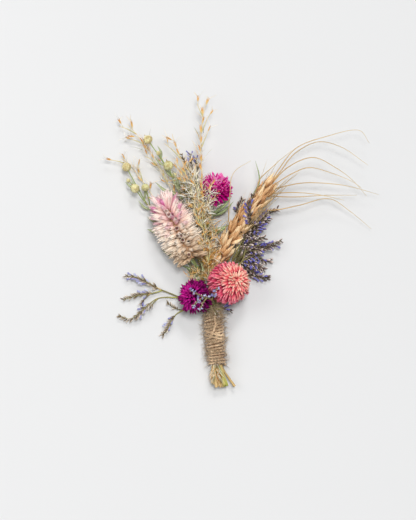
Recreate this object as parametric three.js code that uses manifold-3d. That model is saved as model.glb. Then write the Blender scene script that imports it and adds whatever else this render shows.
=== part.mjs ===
// A dried-flower boutonniere lying on its back, in millimetres. +Y runs along the stems towards the
// flowers, +X to the right as it is worn, +Z out of its front, and it lies on the plane z = 0.
// Eighteen cut stems are gathered into one bundle and bound with jute twine. Above the binding they
// fan out: three globe amaranth heads, a feather celosia plume, a bearded wheat ear, grass panicles,
// sprays of round seed pods and sprigs of statice.
import * as THREE from "three";
import { mergeVertices } from "three/addons/utils/BufferGeometryUtils.js";
import Module from "manifold-3d";

const wasm = await Module();
wasm.setup();
const { Manifold } = wasm;

// Driving dimensions of the bound handle
const WRAP_TOP = new THREE.Vector3(-16.1, -38.2, 4.7);
const WRAP_END = new THREE.Vector3(-13.6, -68.2, 4.5);
const STEM_PITCH = 1.5; // centre to centre of neighbouring stems at the top of the wrap
const STEM_RADIUS = 0.55;
const BUNDLE_TIGHTENING = 0.93; // the bundle's size at the wrap's end, as a share of its top
const TWINE_THICKNESS = 1.6;
const WRAP_TURNS = 18;
const CUT_LENGTH = 10.5; // bare stem below the wrap
const CUT_FAN = 2.3; // how much wider apart the cut ends stand than inside the wrap

// Clearances
const GAP = 0.35; // between neighbouring pieces
const BORE_ROOM = 0.5; // between the outermost stems and the binding
const MERGE_DISTANCE = 0.1; // corners of a fused piece closer than this become one
const LEAF_THICKNESS = 0.9;
const AWN_RADIUS = 0.32;

// The three amaranth heads: where each is centred, its radius to the bract tips, and its axis
const SALMON = { centre: [-7.4, -22.3, 15.5], radius: 12, axis: [0.48, 0.34, 0.81], bracts: 60 };
const PURPLE = { centre: [-25.6, -29.7, 13], radius: 10, axis: [-0.47, 0.14, 0.87], bracts: 50 };
const MAGENTA = { centre: [-14.6, 29.2, 10.7], radius: 9.5, axis: [0.1, 0.75, 0.65], bracts: 48 };
const CORE_SHARE = 0.66; // radius of a head's core, as a share of the head's

// The celosia plume
const PLUME_BASE = [-27.2, -8.5, 13];
const PLUME_TIP = [-41.5, 18.5, 15];
const PLUME_RADIUS = 11.5;
const PLUME_CORE_RADIUS = 3;
const PLUME_FLORETS = 80;

// The wheat ear
const EAR_BASE = [-15.4, -12.2, 6.2];
const EAR_TIP = [15.6, 31.6, 12.5];
const EAR_NODES = 15;

const UP = new THREE.Vector3(0, 0, 1);
const GOLDEN_ANGLE = Math.PI * (3 - Math.sqrt(5));

const MATERIALS = {
  twine: new THREE.MeshStandardMaterial({ color: 0xb99c78, roughness: 0.95, metalness: 0 }),
  salmon: new THREE.MeshStandardMaterial({ color: 0xe98a8c, roughness: 0.75, metalness: 0 }),
  purple: new THREE.MeshStandardMaterial({ color: 0x8a0f7c, roughness: 0.75, metalness: 0 }),
  magenta: new THREE.MeshStandardMaterial({ color: 0xc0278f, roughness: 0.75, metalness: 0 }),
  celosia: new THREE.MeshStandardMaterial({ color: 0xe5cdc4, roughness: 0.7, metalness: 0 }),
  wheat: new THREE.MeshStandardMaterial({ color: 0xd6a871, roughness: 0.7, metalness: 0 }),
  grass: new THREE.MeshStandardMaterial({ color: 0xd8a457, roughness: 0.75, metalness: 0 }),
  pod: new THREE.MeshStandardMaterial({ color: 0xb9b67c, roughness: 0.7, metalness: 0 }),
  statice: new THREE.MeshStandardMaterial({ color: 0x6d5f86, roughness: 0.8, metalness: 0 }),
  green: new THREE.MeshStandardMaterial({ color: 0x8d9f6a, roughness: 0.8, metalness: 0 }),
};

const vec = (p) => (p.isVector3 ? p.clone() : new THREE.Vector3(...p));
const lerp = THREE.MathUtils.lerp;

// A repeatable row of numbers from 0 to 1 for each seed.
function randomFrom(seed) {
  let state = seed;
  return () => {
    state = (state * 16807) % 2147483647;
    return state / 2147483647;
  };
}

// A closed solid from rings of points, each ring a loop of the same count or a single point.
function loft(rings) {
  const positions = [];
  const faces = [];
  const starts = rings.map((ring) => {
    const start = positions.length / 3;
    ring.forEach((p) => positions.push(p.x, p.y, p.z));
    return start;
  });
  for (let i = 0; i + 1 < rings.length; i++) {
    const [a, b] = [starts[i], starts[i + 1]];
    const sides = Math.max(rings[i].length, rings[i + 1].length);
    for (let k = 0; k < sides; k++) {
      const next = (k + 1) % sides;
      if (rings[i].length === 1) faces.push(a, b + k, b + next);
      else if (rings[i + 1].length === 1) faces.push(a + k, b, a + next);
      else faces.push(a + k, b + k, a + next, a + next, b + k, b + next);
    }
  }
  for (let k = 1; k + 1 < rings[0].length; k++) faces.push(starts[0], starts[0] + k, starts[0] + k + 1);
  const last = rings.length - 1;
  for (let k = 1; k + 1 < rings[last].length; k++) {
    faces.push(starts[last], starts[last] + k + 1, starts[last] + k);
  }
  const geometry = new THREE.BufferGeometry();
  geometry.setAttribute("position", new THREE.Float32BufferAttribute(positions, 3));
  geometry.setIndex(faces);
  return solidOf(geometry);
}

// A closed three.js geometry as a solid that can be joined and cut.
function solidOf(geometry) {
  const bare = geometry.clone();
  bare.deleteAttribute("normal");
  bare.deleteAttribute("uv");
  const merged = mergeVertices(bare, 1e-4);
  return new Manifold(
    new wasm.Mesh({
      numProp: 3,
      vertProperties: Float32Array.from(merged.attributes.position.array),
      triVerts: Uint32Array.from(merged.index.array),
    }),
  );
}

// A body swept along a curve. sizeAt(t) gives its half width and half thickness at a share t of its
// length; a size of zero closes it to a point. face is the way its broad side looks.
function sweep(curve, { steps, sides, sizeAt, face = UP, bend = (p) => p }) {
  const rings = [];
  for (let i = 0; i <= steps; i++) {
    const t = i / steps;
    const centre = curve.getPointAt(t);
    const along = curve.getTangentAt(t);
    const across = along.clone().cross(face).normalize();
    const normal = across.clone().cross(along);
    const [width, thickness] = sizeAt(t);
    const ring = [];
    for (let k = 0; k < (width > 0 ? sides : 1); k++) {
      const angle = (k / sides) * 2 * Math.PI;
      const offset = across.clone().multiplyScalar(Math.cos(angle) * width);
      offset.addScaledVector(normal, Math.sin(angle) * thickness);
      ring.push(bend(centre.clone().add(offset)));
    }
    rings.push(ring);
  }
  return loft(rings);
}

const smoothCurve = (points) => new THREE.CatmullRomCurve3(points.map(vec));

// A stem along a smooth curve, tapering from its root to its tip.
function stem(points, rootRadius, tipRadius, { sides = 3, spacing = 9.5 } = {}) {
  const curve = points instanceof THREE.Curve ? points : smoothCurve(points);
  const steps = Math.max(2, Math.round(curve.getLength() / spacing));
  const sizeAt = (t) => Array(2).fill(lerp(rootRadius, tipRadius, t));
  return sweep(curve, { steps, sides, sizeAt });
}

// A small seed, floret or bract: a point at its root and at its tip, and widest at the belly.
function spike(root, tip, width, thickness, options = {}) {
  const { face = UP, sides = 3, belly = 0.45, bulge = 0, bend = (p) => p } = options;
  const [a, b] = [vec(root), vec(tip)];
  const along = b.clone().sub(a).normalize();
  const across = along.clone().cross(face).normalize();
  const rise = across.clone().cross(along);
  const middle = a.clone().lerp(b, belly).addScaledVector(rise, bulge);
  const ring = [];
  for (let k = 0; k < sides; k++) {
    const angle = ((k + 0.25 * (sides % 2)) / sides) * 2 * Math.PI;
    const p = middle.clone().addScaledVector(across, (Math.cos(angle) * width) / 2);
    ring.push(bend(p.addScaledVector(rise, (Math.sin(angle) * thickness) / 2)));
  }
  return loft([[bend(a)], ring, [bend(b)]]);
}

// A leaf blade along a curve: rounded root, widest before the middle, pointed tip, with a raised rib.
function leaf(points, width, { steps = 5, face = UP, thickness = LEAF_THICKNESS } = {}) {
  const sizeAt = (t) => {
    if (t >= 0.999) return [0, 0];
    const outline = Math.sin(Math.PI * Math.pow(0.12 + 0.88 * t, 0.8));
    return [Math.max(0.35, (outline * width) / 2), (thickness / 2) * (1 - 0.3 * t)];
  };
  return sweep(smoothCurve(points), { steps, sides: 4, sizeAt, face });
}

// Where a stem of the bundle lies at a share t down the wrap: row and column of its place.
function slot(column, row, t) {
  const centre = WRAP_TOP.clone().lerp(WRAP_END, t);
  const along = WRAP_END.clone().sub(WRAP_TOP).normalize();
  const across = UP.clone().cross(along).normalize();
  const pitch = STEM_PITCH * lerp(1, BUNDLE_TIGHTENING, t);
  centre.addScaledVector(across, column * pitch);
  centre.z += row * pitch * Math.sin(Math.PI / 3);
  return centre;
}

// The stretch of a stem from its cut end up to the top of the wrap.
function boundStretch(column, row, { cut = 0, splay = 0 } = {}) {
  const along = WRAP_END.clone().sub(WRAP_TOP).normalize();
  const end = slot(column * CUT_FAN + 0.6, row, 1).addScaledVector(along, CUT_LENGTH + cut);
  end.x += splay;
  return [end, ...[1.03, 0.9, 0.4, -0.03].map((t) => slot(column, row, t))];
}

const part = new THREE.Group();
part.name = "boutonniere";
const placed = []; // finished pieces, which the next ones stay clear of

function isClear(solid, gap = GAP) {
  return placed.every((other) => solid.minGap(other, gap) >= gap);
}

// Fuses the solids, presses them flat on the surface and adds them as one named piece.
function addPiece(name, solids, material) {
  const fused = Manifold.union(solids).trimByPlane([0, 0, 1], 0).simplify(MERGE_DISTANCE);
  const bodies = fused.decompose().sort((a, b) => b.volume() - a.volume());
  const solid = bodies[0];
  const { numProp, vertProperties, triVerts } = solid.getMesh();
  const positions = [];
  for (let i = 0; i < vertProperties.length; i += numProp) {
    positions.push(...vertProperties.subarray(i, i + 3));
  }
  const geometry = new THREE.BufferGeometry();
  geometry.setAttribute("position", new THREE.Float32BufferAttribute(positions, 3));
  geometry.setIndex([...triVerts]);
  const mesh = new THREE.Mesh(geometry, material);
  mesh.name = name;
  part.add(mesh);
  placed.push(solid);
}

// Moves a point out of the sphere that a neighbouring head fills.
function pressedClear(point, neighbour) {
  const centre = vec(neighbour.centre);
  const away = point.clone().sub(centre);
  const least = neighbour.radius + GAP;
  return away.length() < least ? centre.add(away.setLength(least)) : point;
}

// Globe amaranth heads

// Papery keeled bracts in a golden-angle spiral, leaning to the head's apex, over a round core.
function amaranthHead(head, neighbour) {
  const centre = vec(head.centre);
  const axis = vec(head.axis).normalize();
  const side = axis.clone().cross(new THREE.Vector3(1, 0, 0)).normalize();
  const third = axis.clone().cross(side);
  const bend = neighbour ? (p) => pressedClear(p, neighbour) : (p) => p;
  const core = new THREE.IcosahedronGeometry(head.radius * CORE_SHARE, 1);
  core.translate(centre.x, centre.y, centre.z);
  const solids = [solidOf(core)];
  for (let i = 0; i < head.bracts; i++) {
    const height = lerp(0.97, -0.86, (i + 0.5) / head.bracts);
    const ring = Math.sqrt(1 - height * height);
    const angle = i * GOLDEN_ANGLE;
    const outward = axis.clone().multiplyScalar(height);
    outward.addScaledVector(side, ring * Math.cos(angle));
    outward.addScaledVector(third, ring * Math.sin(angle));
    const tip = outward.clone().addScaledVector(axis, 0.28 * ring).setLength(head.radius);
    const root = outward.clone().multiplyScalar(head.radius * CORE_SHARE * 0.6);
    const width = head.radius * (0.24 + 0.14 * ring);
    solids.push(
      spike(root.add(centre), tip.add(centre), width, width * 0.6, {
        face: outward.clone().cross(axis).cross(outward).normalize(),
        belly: 0.62,
        bend,
      }),
    );
  }
  return solids;
}

// The stem meets the underside of the core between the lowest bracts.
function headBase(head) {
  const reach = head.radius * CORE_SHARE + GAP + 0.1;
  return vec(head.centre).addScaledVector(vec(head.axis).normalize(), -reach);
}

addPiece("salmon_amaranth_head", amaranthHead(SALMON), MATERIALS.salmon);
addPiece("purple_amaranth_head", amaranthHead(PURPLE, SALMON), MATERIALS.purple);
addPiece("magenta_amaranth_head", amaranthHead(MAGENTA), MATERIALS.magenta);

addPiece(
  "salmon_amaranth_stem",
  [
    stem(
      [...boundStretch(1, 2), [-13.4, -32, 7.3], headBase(SALMON)],
      STEM_RADIUS,
      STEM_RADIUS,
      { sides: 5 },
    ),
  ],
  MATERIALS.green,
);
addPiece(
  "purple_amaranth_stem",
  [
    stem(
      [...boundStretch(-1.5, 1), [-20.9, -33.6, 5], headBase(PURPLE)],
      STEM_RADIUS,
      0.5,
      { sides: 4, spacing: 5 },
    ),
  ],
  MATERIALS.green,
);

const magentaStem = [[-17.4, -24, 3.6], [-18, -10, 5], [-18.2, 3, 6.2], [-17.2, 15, 5.6]];
addPiece(
  "magenta_amaranth_stem",
  [
    stem(
      [...boundStretch(1, 0), ...magentaStem, headBase(MAGENTA)],
      STEM_RADIUS,
      0.5,
      { sides: 5 },
    ),
    leaf([[-17.4, 14.2, 5.6], [-13.5, 17.6, 9.6], [-9.5, 20.4, 12], [-5.6, 25.2, 13.2]], 2.6),
    leaf([[-17.2, 15, 5.6], [-12.5, 16, 6.4], [-8.6, 18.4, 6.6], [-4.6, 22.8, 5.2]], 2.4),
    leaf([[-18.2, 4.6, 6.1], [-14.6, 6.2, 8], [-11.8, 7.2, 8.4], [-8.2, 8.9, 8.2]], 2.6),
    leaf([[-18.2, 5.4, 6.1], [-19.5, 9, 7.6], [-19.2, 13, 8.4]], 2.8),
  ],
  MATERIALS.green,
);

// Celosia plume

// Half width of the plume at a share t of its core, narrower where it meets the stem.
function plumeReach(t) {
  return PLUME_RADIUS * Math.min(1, 0.76 + 0.9 * t);
}

const plumeBase = vec(PLUME_BASE);
const plumeAxis = vec(PLUME_TIP).sub(plumeBase).normalize();
const plumeLength = vec(PLUME_TIP).distanceTo(plumeBase);

// Slender pointed florets stand out all round a thin core, and lean forward near the tip.
function plumeFlorets() {
  const side = plumeAxis.clone().cross(UP).normalize();
  const rise = side.clone().cross(plumeAxis);
  const solids = [
    sweep(smoothCurve([plumeBase, vec(PLUME_TIP)]), {
      steps: 5,
      sides: 8,
      sizeAt: (t) => Array(2).fill(PLUME_CORE_RADIUS * (1 - 0.45 * t * t)),
    }),
  ];
  for (let i = 0; i < PLUME_FLORETS; i++) {
    const t = Math.pow((i + 0.5) / PLUME_FLORETS, 0.85);
    const angle = i * GOLDEN_ANGLE;
    const outward = side.clone().multiplyScalar(Math.cos(angle)).addScaledVector(rise, Math.sin(angle));
    const lean = Math.PI * (-0.06 + 0.16 * t + 0.3 * Math.max(0, t - 0.7) / 0.3);
    const direction = outward.clone().multiplyScalar(Math.cos(lean));
    direction.addScaledVector(plumeAxis, Math.sin(lean));
    const foot = plumeBase.clone().addScaledVector(plumeAxis, t * plumeLength);
    const flattened = 1 - 0.12 * Math.abs(outward.z);
    const root = foot.clone().addScaledVector(outward, PLUME_CORE_RADIUS * 0.25);
    const tip = foot.addScaledVector(direction, plumeReach(t) * flattened);
    solids.push(spike(root, tip, 3.1, 2.3, { face: plumeAxis, belly: 0.6, bulge: 0.5 }));
  }
  return solids;
}

addPiece("celosia_plume", plumeFlorets(), MATERIALS.celosia);

const plumeFoot = plumeBase.clone().addScaledVector(plumeAxis, -GAP);
addPiece(
  "celosia_stem",
  [
    stem(
      [
        ...boundStretch(-1, 2), [-19.3, -29.5, 4.8], [-22.2, -19.5, 6.6], [-25.4, -12.4, 10.6],
        plumeFoot,
      ],
      STEM_RADIUS,
      0.8,
      { sides: 4, spacing: 6 },
    ),
    leaf([[-23.2, -16.8, 8], [-26.5, -15.2, 9.6], [-30.5, -13.6, 9.2], [-36, -11.6, 7.6]], 2),
    leaf([[-22.4, -19, 6.8], [-25, -17.4, 8.6], [-28.2, -17, 7.4], [-31, -17.4, 5]], 2.4),
    leaf([[-22.6, -18.4, 7], [-21.8, -15, 10], [-22.6, -12.4, 11.6]], 2.6),
  ],
  MATERIALS.green,
);

// Bearded wheat

const earBase = vec(EAR_BASE);
const earTip = vec(EAR_TIP);
const earMiddle = earBase.clone().lerp(earTip, 0.5).add(vec([-0.8, 0.6, 0.8]));
const earCurve = smoothCurve([earBase, earMiddle, earTip]);

// Each node carries a spikelet of three plump pointed florets, left and right in turn.
function earSpikelets() {
  const solids = [];
  for (let i = 0; i < EAR_NODES; i++) {
    const t = lerp(0, 0.94, i / (EAR_NODES - 1));
    const foot = earCurve.getPointAt(t);
    const along = earCurve.getTangentAt(t);
    const across = along.clone().cross(UP).normalize().multiplyScalar(i % 2 ? 1 : -1);
    const size = 1 - 0.22 * Math.abs(t - 0.4) / 0.6;
    for (const [out, up] of [[0.34, 0.02], [0.2, 0.3], [0.2, -0.26]]) {
      const direction = along.clone().addScaledVector(across, out).addScaledVector(UP, up).normalize();
      const root = foot.clone().addScaledVector(across, 0.2);
      const tip = root.clone().addScaledVector(across, 0.6).addScaledVector(direction, 11.4 * size);
      solids.push(spike(root, tip, 5 * size, 4.6 * size, { belly: 0.42, face: across, bulge: 0.6 }));
    }
  }
  return solids;
}

// Awns: the share of the ear each springs from, then its way out to where its fine end droops.
const AWNS = [
  [0.9, [20, 40, 15], [29.4, 51.4, 17], [45.7, 57.8, 16], [64.7, 61.3, 12], [69.9, 54.7, 9]],
  [0.96, [21.4, 39.4, 14], [28.8, 48.6, 15], [41.3, 55, 14.4], [53.9, 52.5, 12.4], [69.3, 42.6, 8]],
  [0.98, [24.8, 40.9, 15], [38.7, 46.4, 16.4], [51.4, 40.7, 14.6], [60, 34.7, 11.6], [68.7, 25.6, 7]],
  [0.94, [28, 38, 12.6], [36.7, 41, 13], [48, 38.4, 12], [60.7, 33.4, 9], [65.8, 30, 7]],
  [0.92, [31.4, 32.4, 11.8], [41.3, 32.7, 12], [58, 31, 10.4], [75.2, 26.4, 7]],
  [0.88, [28, 27.3, 14], [40.7, 26.3, 14.4], [56, 23.2, 12]],
  [0.86, [28, 25, 9.6], [44.6, 25.9, 9], [63.3, 26.1, 6.4]],
  [0.68, [18, 17.8, 11.6], [31.4, 20.4, 12], [47.9, 24, 10.6], [59.4, 17.3, 7], [71.4, 7.6, 4]],
  [0.34, [-7.3, 11.6, 12], [-6.6, 27.4, 17.6], [-5.9, 35.4, 18], [-3.3, 39.6, 17], [4.7, 44.7, 14]],
  [0.16, [-13.6, 3.4, 14.4], [-16.8, 11.2, 19], [-20.6, 17.4, 22], [-25.9, 25, 22.6]],
  [0.84, [8.7, 32.6, 14.4], [18, 42.6, 16], [27, 50.2, 16.4]],
];

const awnCurve = ([share, ...points]) => smoothCurve([earCurve.getPointAt(share), ...points]);

addPiece(
  "wheat_ear",
  [
    stem(
      [...boundStretch(1.5, 1), [-14.4, -30, 4.6], [-15.2, -21, 4.2], earBase],
      0.6,
      0.7,
      { sides: 5 },
    ),
    stem(earCurve, 0.8, 0.5, { sides: 5, spacing: 7 }),
    ...earSpikelets(),
    ...AWNS.map((awn) => stem(awnCurve(awn), AWN_RADIUS, 0.3, { spacing: 10 })),
  ],
  MATERIALS.wheat,
);

// Small repeats along a stem

// Seeds or florets set along part of a curve, turning round it, where nothing else is in their way.
function setAlong(curve, { from = 0, to = 1, pitch, random, make }) {
  const count = Math.max(1, Math.round((curve.getLength() * (to - from)) / pitch));
  const solids = [];
  for (let i = 0; i < count; i++) {
    const t = lerp(from, to, (i + 0.5) / count);
    const foot = curve.getPointAt(t);
    const along = curve.getTangentAt(t);
    const across = along.clone().cross(UP).normalize();
    const solid = make({ i, t, foot, along, across, rise: across.clone().cross(along), random });
    if (solid && isClear(solid)) solids.push(solid);
  }
  return solids;
}

// Statice: a wiry stem whose side branches carry short papery florets in two close rows.
function staticeFlorets(points, seed, { from = 0.3, pitch = 2.05, length = 3.6 } = {}) {
  const make = ({ i, foot, along, across, rise, random }) => {
    const hand = i % 2 ? 1 : -1;
    const out = across.clone().multiplyScalar(hand * lerp(0.5, 0.9, random()));
    out.addScaledVector(rise, lerp(-0.1, 0.75, random())).addScaledVector(along, 0.95).normalize();
    const reach = length * lerp(0.85, 1.15, random());
    return spike(foot, foot.clone().addScaledVector(out, reach), 1.5, 1.3, { belly: 0.66, face: rise });
  };
  return setAlong(smoothCurve(points), { from, to: 1, pitch, random: randomFrom(seed), make });
}

function staticeBranch(points, seed, options) {
  return [stem(points, 0.42, 0.32, { spacing: 5 }), ...staticeFlorets(points, seed, options)];
}

addPiece(
  "statice_left",
  [
    stem(
      [
        ...boundStretch(-2, 0), [-20.2, -35.6, 3.6], [-26, -32.2, 1.3], [-34.1, -30.3, 1.4],
        [-38.6, -28.5, 2.2], [-44.8, -26, 3],
      ],
      0.5,
      0.42,
      { spacing: 6 },
    ),
    ...staticeBranch(
      [[-44.6, -26.1, 3], [-51, -22.6, 3.4], [-57.2, -19.5, 4], [-64.4, -18.4, 3]],
      11,
      { from: 0.1 },
    ),
    ...staticeBranch(
      [[-43.6, -26.4, 2.8], [-51, -28.3, 2.6], [-56, -28.9, 3], [-65.6, -31.6, 2.2]],
      12,
      { from: 0.3 },
    ),
    ...staticeBranch(
      [
        [-34.1, -30.3, 1.4], [-45.7, -30.6, 2.6], [-50.6, -33.4, 3.4], [-57.2, -39.3, 4],
        [-61.8, -42.2, 3.4], [-68, -40.2, 2.4],
      ],
      13,
      { from: 0.46 },
    ),
    ...staticeBranch(
      [
        [-22, -34.9, 3], [-27, -36.6, 2.4], [-32.5, -37.1, 2.6], [-36.7, -36.4, 3.4],
        [-41.4, -33.2, 4.4],
      ],
      14,
      { from: 0.66 },
    ),
    ...staticeBranch(
      [
        [-31.6, -37.1, 2.6], [-35.5, -38.9, 2.8], [-38.4, -42.4, 3], [-41.8, -49, 2.6],
        [-44.2, -51.2, 1.6],
      ],
      15,
      { from: 0.3 },
    ),
  ],
  MATERIALS.statice,
);

addPiece(
  "statice_right_upper",
  [
    stem(
      [
        ...boundStretch(2, 0, { splay: 1.5 }), [-11, -30, 3.4], [-6.8, -19, 2.8], [-2.4, -8, 2.8],
        [0.8, 1.4, 3],
      ],
      0.5,
      0.45,
    ),
    ...staticeBranch(
      [[0.6, 0.8, 3], [5.9, 8.2, 4.2], [10.4, 12.6, 5.2], [14.6, 16.4, 5.6], [19.6, 18.2, 5]],
      21,
      { from: 0.15 },
    ),
    ...staticeBranch([[4.6, 6.6, 4], [9.6, 9.4, 7.4], [15.2, 13.6, 9]], 22, { from: 0.15 }),
    ...staticeBranch([[2.4, 3.2, 3.3], [6.6, 5.6, 6.6], [11.6, 8.2, 8.6]], 24, { from: 0.2 }),
    ...staticeBranch(
      [[2.6, 3.8, 3.4], [6.4, 8.4, 9.5], [4.6, 13.4, 16], [4.4, 19, 18], [6.2, 25.6, 18.6]],
      23,
      { from: 0.3 },
    ),
    ...staticeBranch(
      [[0.9, 1.2, 3], [-0.2, 9.6, 1], [-2, 18, 1.4], [0.4, 23.6, 2.6]],
      25,
      { from: 0.62 },
    ),
  ],
  MATERIALS.statice,
);

addPiece(
  "statice_right_middle",
  [
    stem(
      [
        ...boundStretch(1.5, -1), [-12.4, -30, 1.3], [-7.4, -20, 1], [-1.4, -9, 1.3],
        [2.6, -3, 2.6],
      ],
      0.5,
      0.45,
    ),
    ...staticeBranch(
      [[2.4, -3.4, 2.5], [7.4, -1.6, 4], [14.6, -1.4, 5], [21.6, 1, 4]],
      31,
      { from: 0.05 },
    ),
    ...staticeBranch(
      [[1, -5.4, 1.8], [7, -6.6, 2.8], [11.8, -9.8, 3.2], [16, -9.6, 2.6]],
      32,
      { from: 0.15 },
    ),
    ...staticeBranch([[3.6, -2.4, 3], [7.6, 1.4, 6.6], [12.4, 2.6, 8]], 33, { from: 0.15 }),
    ...staticeBranch([[1.8, -4.2, 2.2], [4.6, -4.4, 7], [9.6, -4.6, 9]], 34, { from: 0.2 }),
    ...staticeBranch([[-0.6, -7.8, 1.4], [4.4, -9, 5], [8.6, -12.2, 6.4]], 35, { from: 0.2 }),
  ],
  MATERIALS.statice,
);

addPiece(
  "statice_right_lower",
  [
    stem(
      [...boundStretch(1, -2), [-9.4, -31, 0.9], [-3, -23, 0.7], [0.4, -19.4, 0.9]],
      0.5,
      0.45,
      { spacing: 6 },
    ),
    ...staticeBranch(
      [[0.2, -19.6, 0.9], [4.6, -18.2, 1.4], [9.6, -19.4, 2.2], [14.8, -19.6, 1.6]],
      41,
      { from: 0.15 },
    ),
    ...staticeBranch(
      [[-1.6, -21.4, 0.8], [4, -13.6, 1.2], [8.4, -13.8, 2], [12.4, -14.4, 1.6]],
      42,
      { from: 0.4 },
    ),
  ],
  MATERIALS.statice,
);

addPiece(
  "statice_top",
  [
    stem(
      [
        ...boundStretch(0, 0), [-17.4, -27, 5.2], [-20.6, -12, 5.4], [-20.4, 4, 3.6],
        [-21.6, 18, 2.4], [-26, 34, 4],
      ],
      0.45,
      0.4,
    ),
    ...staticeBranch([[-25.8, 33.4, 4], [-29.6, 41, 5.6], [-33.4, 48.8, 6.4]], 51, { from: 0.1 }),
    ...staticeBranch([[-27, 36.4, 4.4], [-27.6, 42.6, 6.4], [-28.4, 49, 7.4]], 52, { from: 0.1 }),
    ...staticeBranch(
      [[-25.2, 31.6, 3.6], [-24.4, 39, 4.6], [-25.4, 46.8, 5.2]],
      53,
      { from: 0.15 },
    ),
  ],
  MATERIALS.statice,
);

addPiece(
  "statice_front",
  [
    stem(
      [...boundStretch(0, 2), [-16.2, -36, 9], [-15.7, -33.2, 13.4], [-16.6, -30.8, 19]],
      0.42,
      0.35,
      { spacing: 4 },
    ),
    ...staticeBranch(
      [[-16.4, -31.4, 17.6], [-18.6, -30.4, 21.8], [-23, -29, 24.4], [-28.4, -26, 24.6]],
      61,
      { from: 0.2, pitch: 1.9 },
    ),
    ...staticeBranch(
      [[-16.5, -31, 18.4], [-15.6, -28, 23.6], [-13.6, -24.4, 27.4]],
      62,
      { from: 0.3, pitch: 1.9 },
    ),
    ...staticeBranch(
      [[-16.1, -35.9, 9.2], [-13.4, -36.6, 10.6], [-9.6, -36.4, 10], [-6.2, -38, 7.4]],
      63,
      { from: 0.4, pitch: 2 },
    ),
  ],
  MATERIALS.statice,
);

// Grass panicles: a hair-thin stalk with narrow pointed seeds held close to it on short threads.
function grassSeeds(points, seed, { from = 0.45, pitch = 3.8, length = 5.4 } = {}) {
  const make = ({ i, t, foot, along, across, rise, random }) => {
    const hand = i % 2 ? 1 : -1;
    const last = t > 0.97;
    const out = across.clone().multiplyScalar(last ? 0 : hand * lerp(0.15, 0.6, random()));
    out.addScaledVector(rise, lerp(-0.2, 0.35, random())).addScaledVector(along, 1).normalize();
    const tip = foot.clone().addScaledVector(out, length * lerp(0.85, 1.15, random()));
    return spike(foot, tip, 1.6, 1.4, { belly: 0.5, face: rise });
  };
  return setAlong(smoothCurve(points), { from, to: 1, pitch, random: randomFrom(seed), make });
}

function grassStalk(points, seed, options) {
  return [stem(points, 0.42, 0.3), ...grassSeeds(points, seed, options)];
}

addPiece(
  "grass_tall",
  [
    ...grassStalk(
      [
        ...boundStretch(0.5, 1), [-17.2, -27, 6.6], [-18.2, -14, 8.2], [-19, 1.4, 11.4],
        [-20.8, 16, 17.2], [-21.8, 30, 19.8], [-22.4, 44, 18.4], [-22.6, 56.4, 15.4],
        [-21.6, 68.5, 12.6], [-19, 78.4, 11],
      ],
      71,
      { from: 0.52, pitch: 4 },
    ),
    ...grassStalk(
      [[-18.9, -2, 10.6], [-20.6, 7, 13], [-22.2, 19, 14.4], [-25.4, 30, 14]],
      91,
      { from: 0.3, pitch: 3 },
    ),
    ...grassStalk(
      [[-19.2, 6, 13], [-17.6, 14, 15.6], [-18.2, 22, 19]],
      92,
      { from: 0.3, pitch: 3 },
    ),
    ...grassStalk([[-22.2, 52, 16.6], [-20.2, 57, 16.6], [-18.6, 61, 15.8]], 72, { from: 0.9 }),
    ...grassStalk([[-22.4, 60, 14.6], [-20, 65.5, 14.6], [-18.6, 69, 14]], 73, { from: 0.9 }),
    ...grassStalk([[-21.5, 69, 12.6], [-23.4, 73, 12.6], [-24.6, 76, 12]], 74, { from: 0.9 }),
  ],
  MATERIALS.grass,
);

addPiece(
  "grass_middle",
  [
    ...grassStalk(
      [
        ...boundStretch(-0.5, 1), [-17.9, -26, 8.4], [-18.4, -15, 11.6], [-19.6, -2, 16],
        [-22.4, 11, 19], [-27.2, 24, 17], [-32, 42, 11.6], [-36.4, 53, 10], [-38.4, 59.6, 9],
      ],
      75,
      { from: 0.5, pitch: 4 },
    ),
    ...grassStalk(
      [[-23.4, 14, 18.8], [-26.8, 22, 14.6], [-31, 30, 12.4], [-33.6, 36, 15]],
      93,
      { from: 0.3, pitch: 3 },
    ),
    ...grassStalk([[-33.6, 46, 11], [-38, 50.6, 11], [-42.6, 54.4, 10]], 76, { from: 0.6 }),
    ...grassStalk([[-30, 36, 12.4], [-33.6, 40.6, 13.4], [-36.8, 44.6, 13]], 77, { from: 0.5 }),
    ...grassStalk(
      [[-24.4, 16.4, 18.4], [-23.4, 22, 20.4], [-24.4, 28, 20.4], [-26.4, 34, 18.6]],
      78,
      { from: 0.3 },
    ),
  ],
  MATERIALS.grass,
);

addPiece(
  "grass_left_upper",
  [
    ...grassStalk(
      [
        ...boundStretch(-0.5, -1), [-20.2, -27, 1.3], [-25.6, -12, 0.9], [-29.6, 6, 1.6],
        [-34, 22, 4.4], [-43.4, 36.6, 4.4], [-50.6, 49.8, 4.4], [-57.2, 58.6, 5.4], [-63, 65, 7],
      ],
      81,
      { from: 0.62 },
    ),
    ...grassStalk([[-58.2, 59.8, 5.6], [-63, 62.4, 7.6], [-67.6, 64, 8]], 82, { from: 0.55 }),
    ...grassStalk([[-54, 54.4, 4.9], [-58.8, 56.2, 7], [-62.4, 57.4, 8]], 83, { from: 0.55 }),
    ...grassStalk([[-46.8, 42.6, 4.5], [-50.4, 46, 7], [-53.4, 47.4, 7.6]], 84, { from: 0.55 }),
  ],
  MATERIALS.grass,
);

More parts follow.
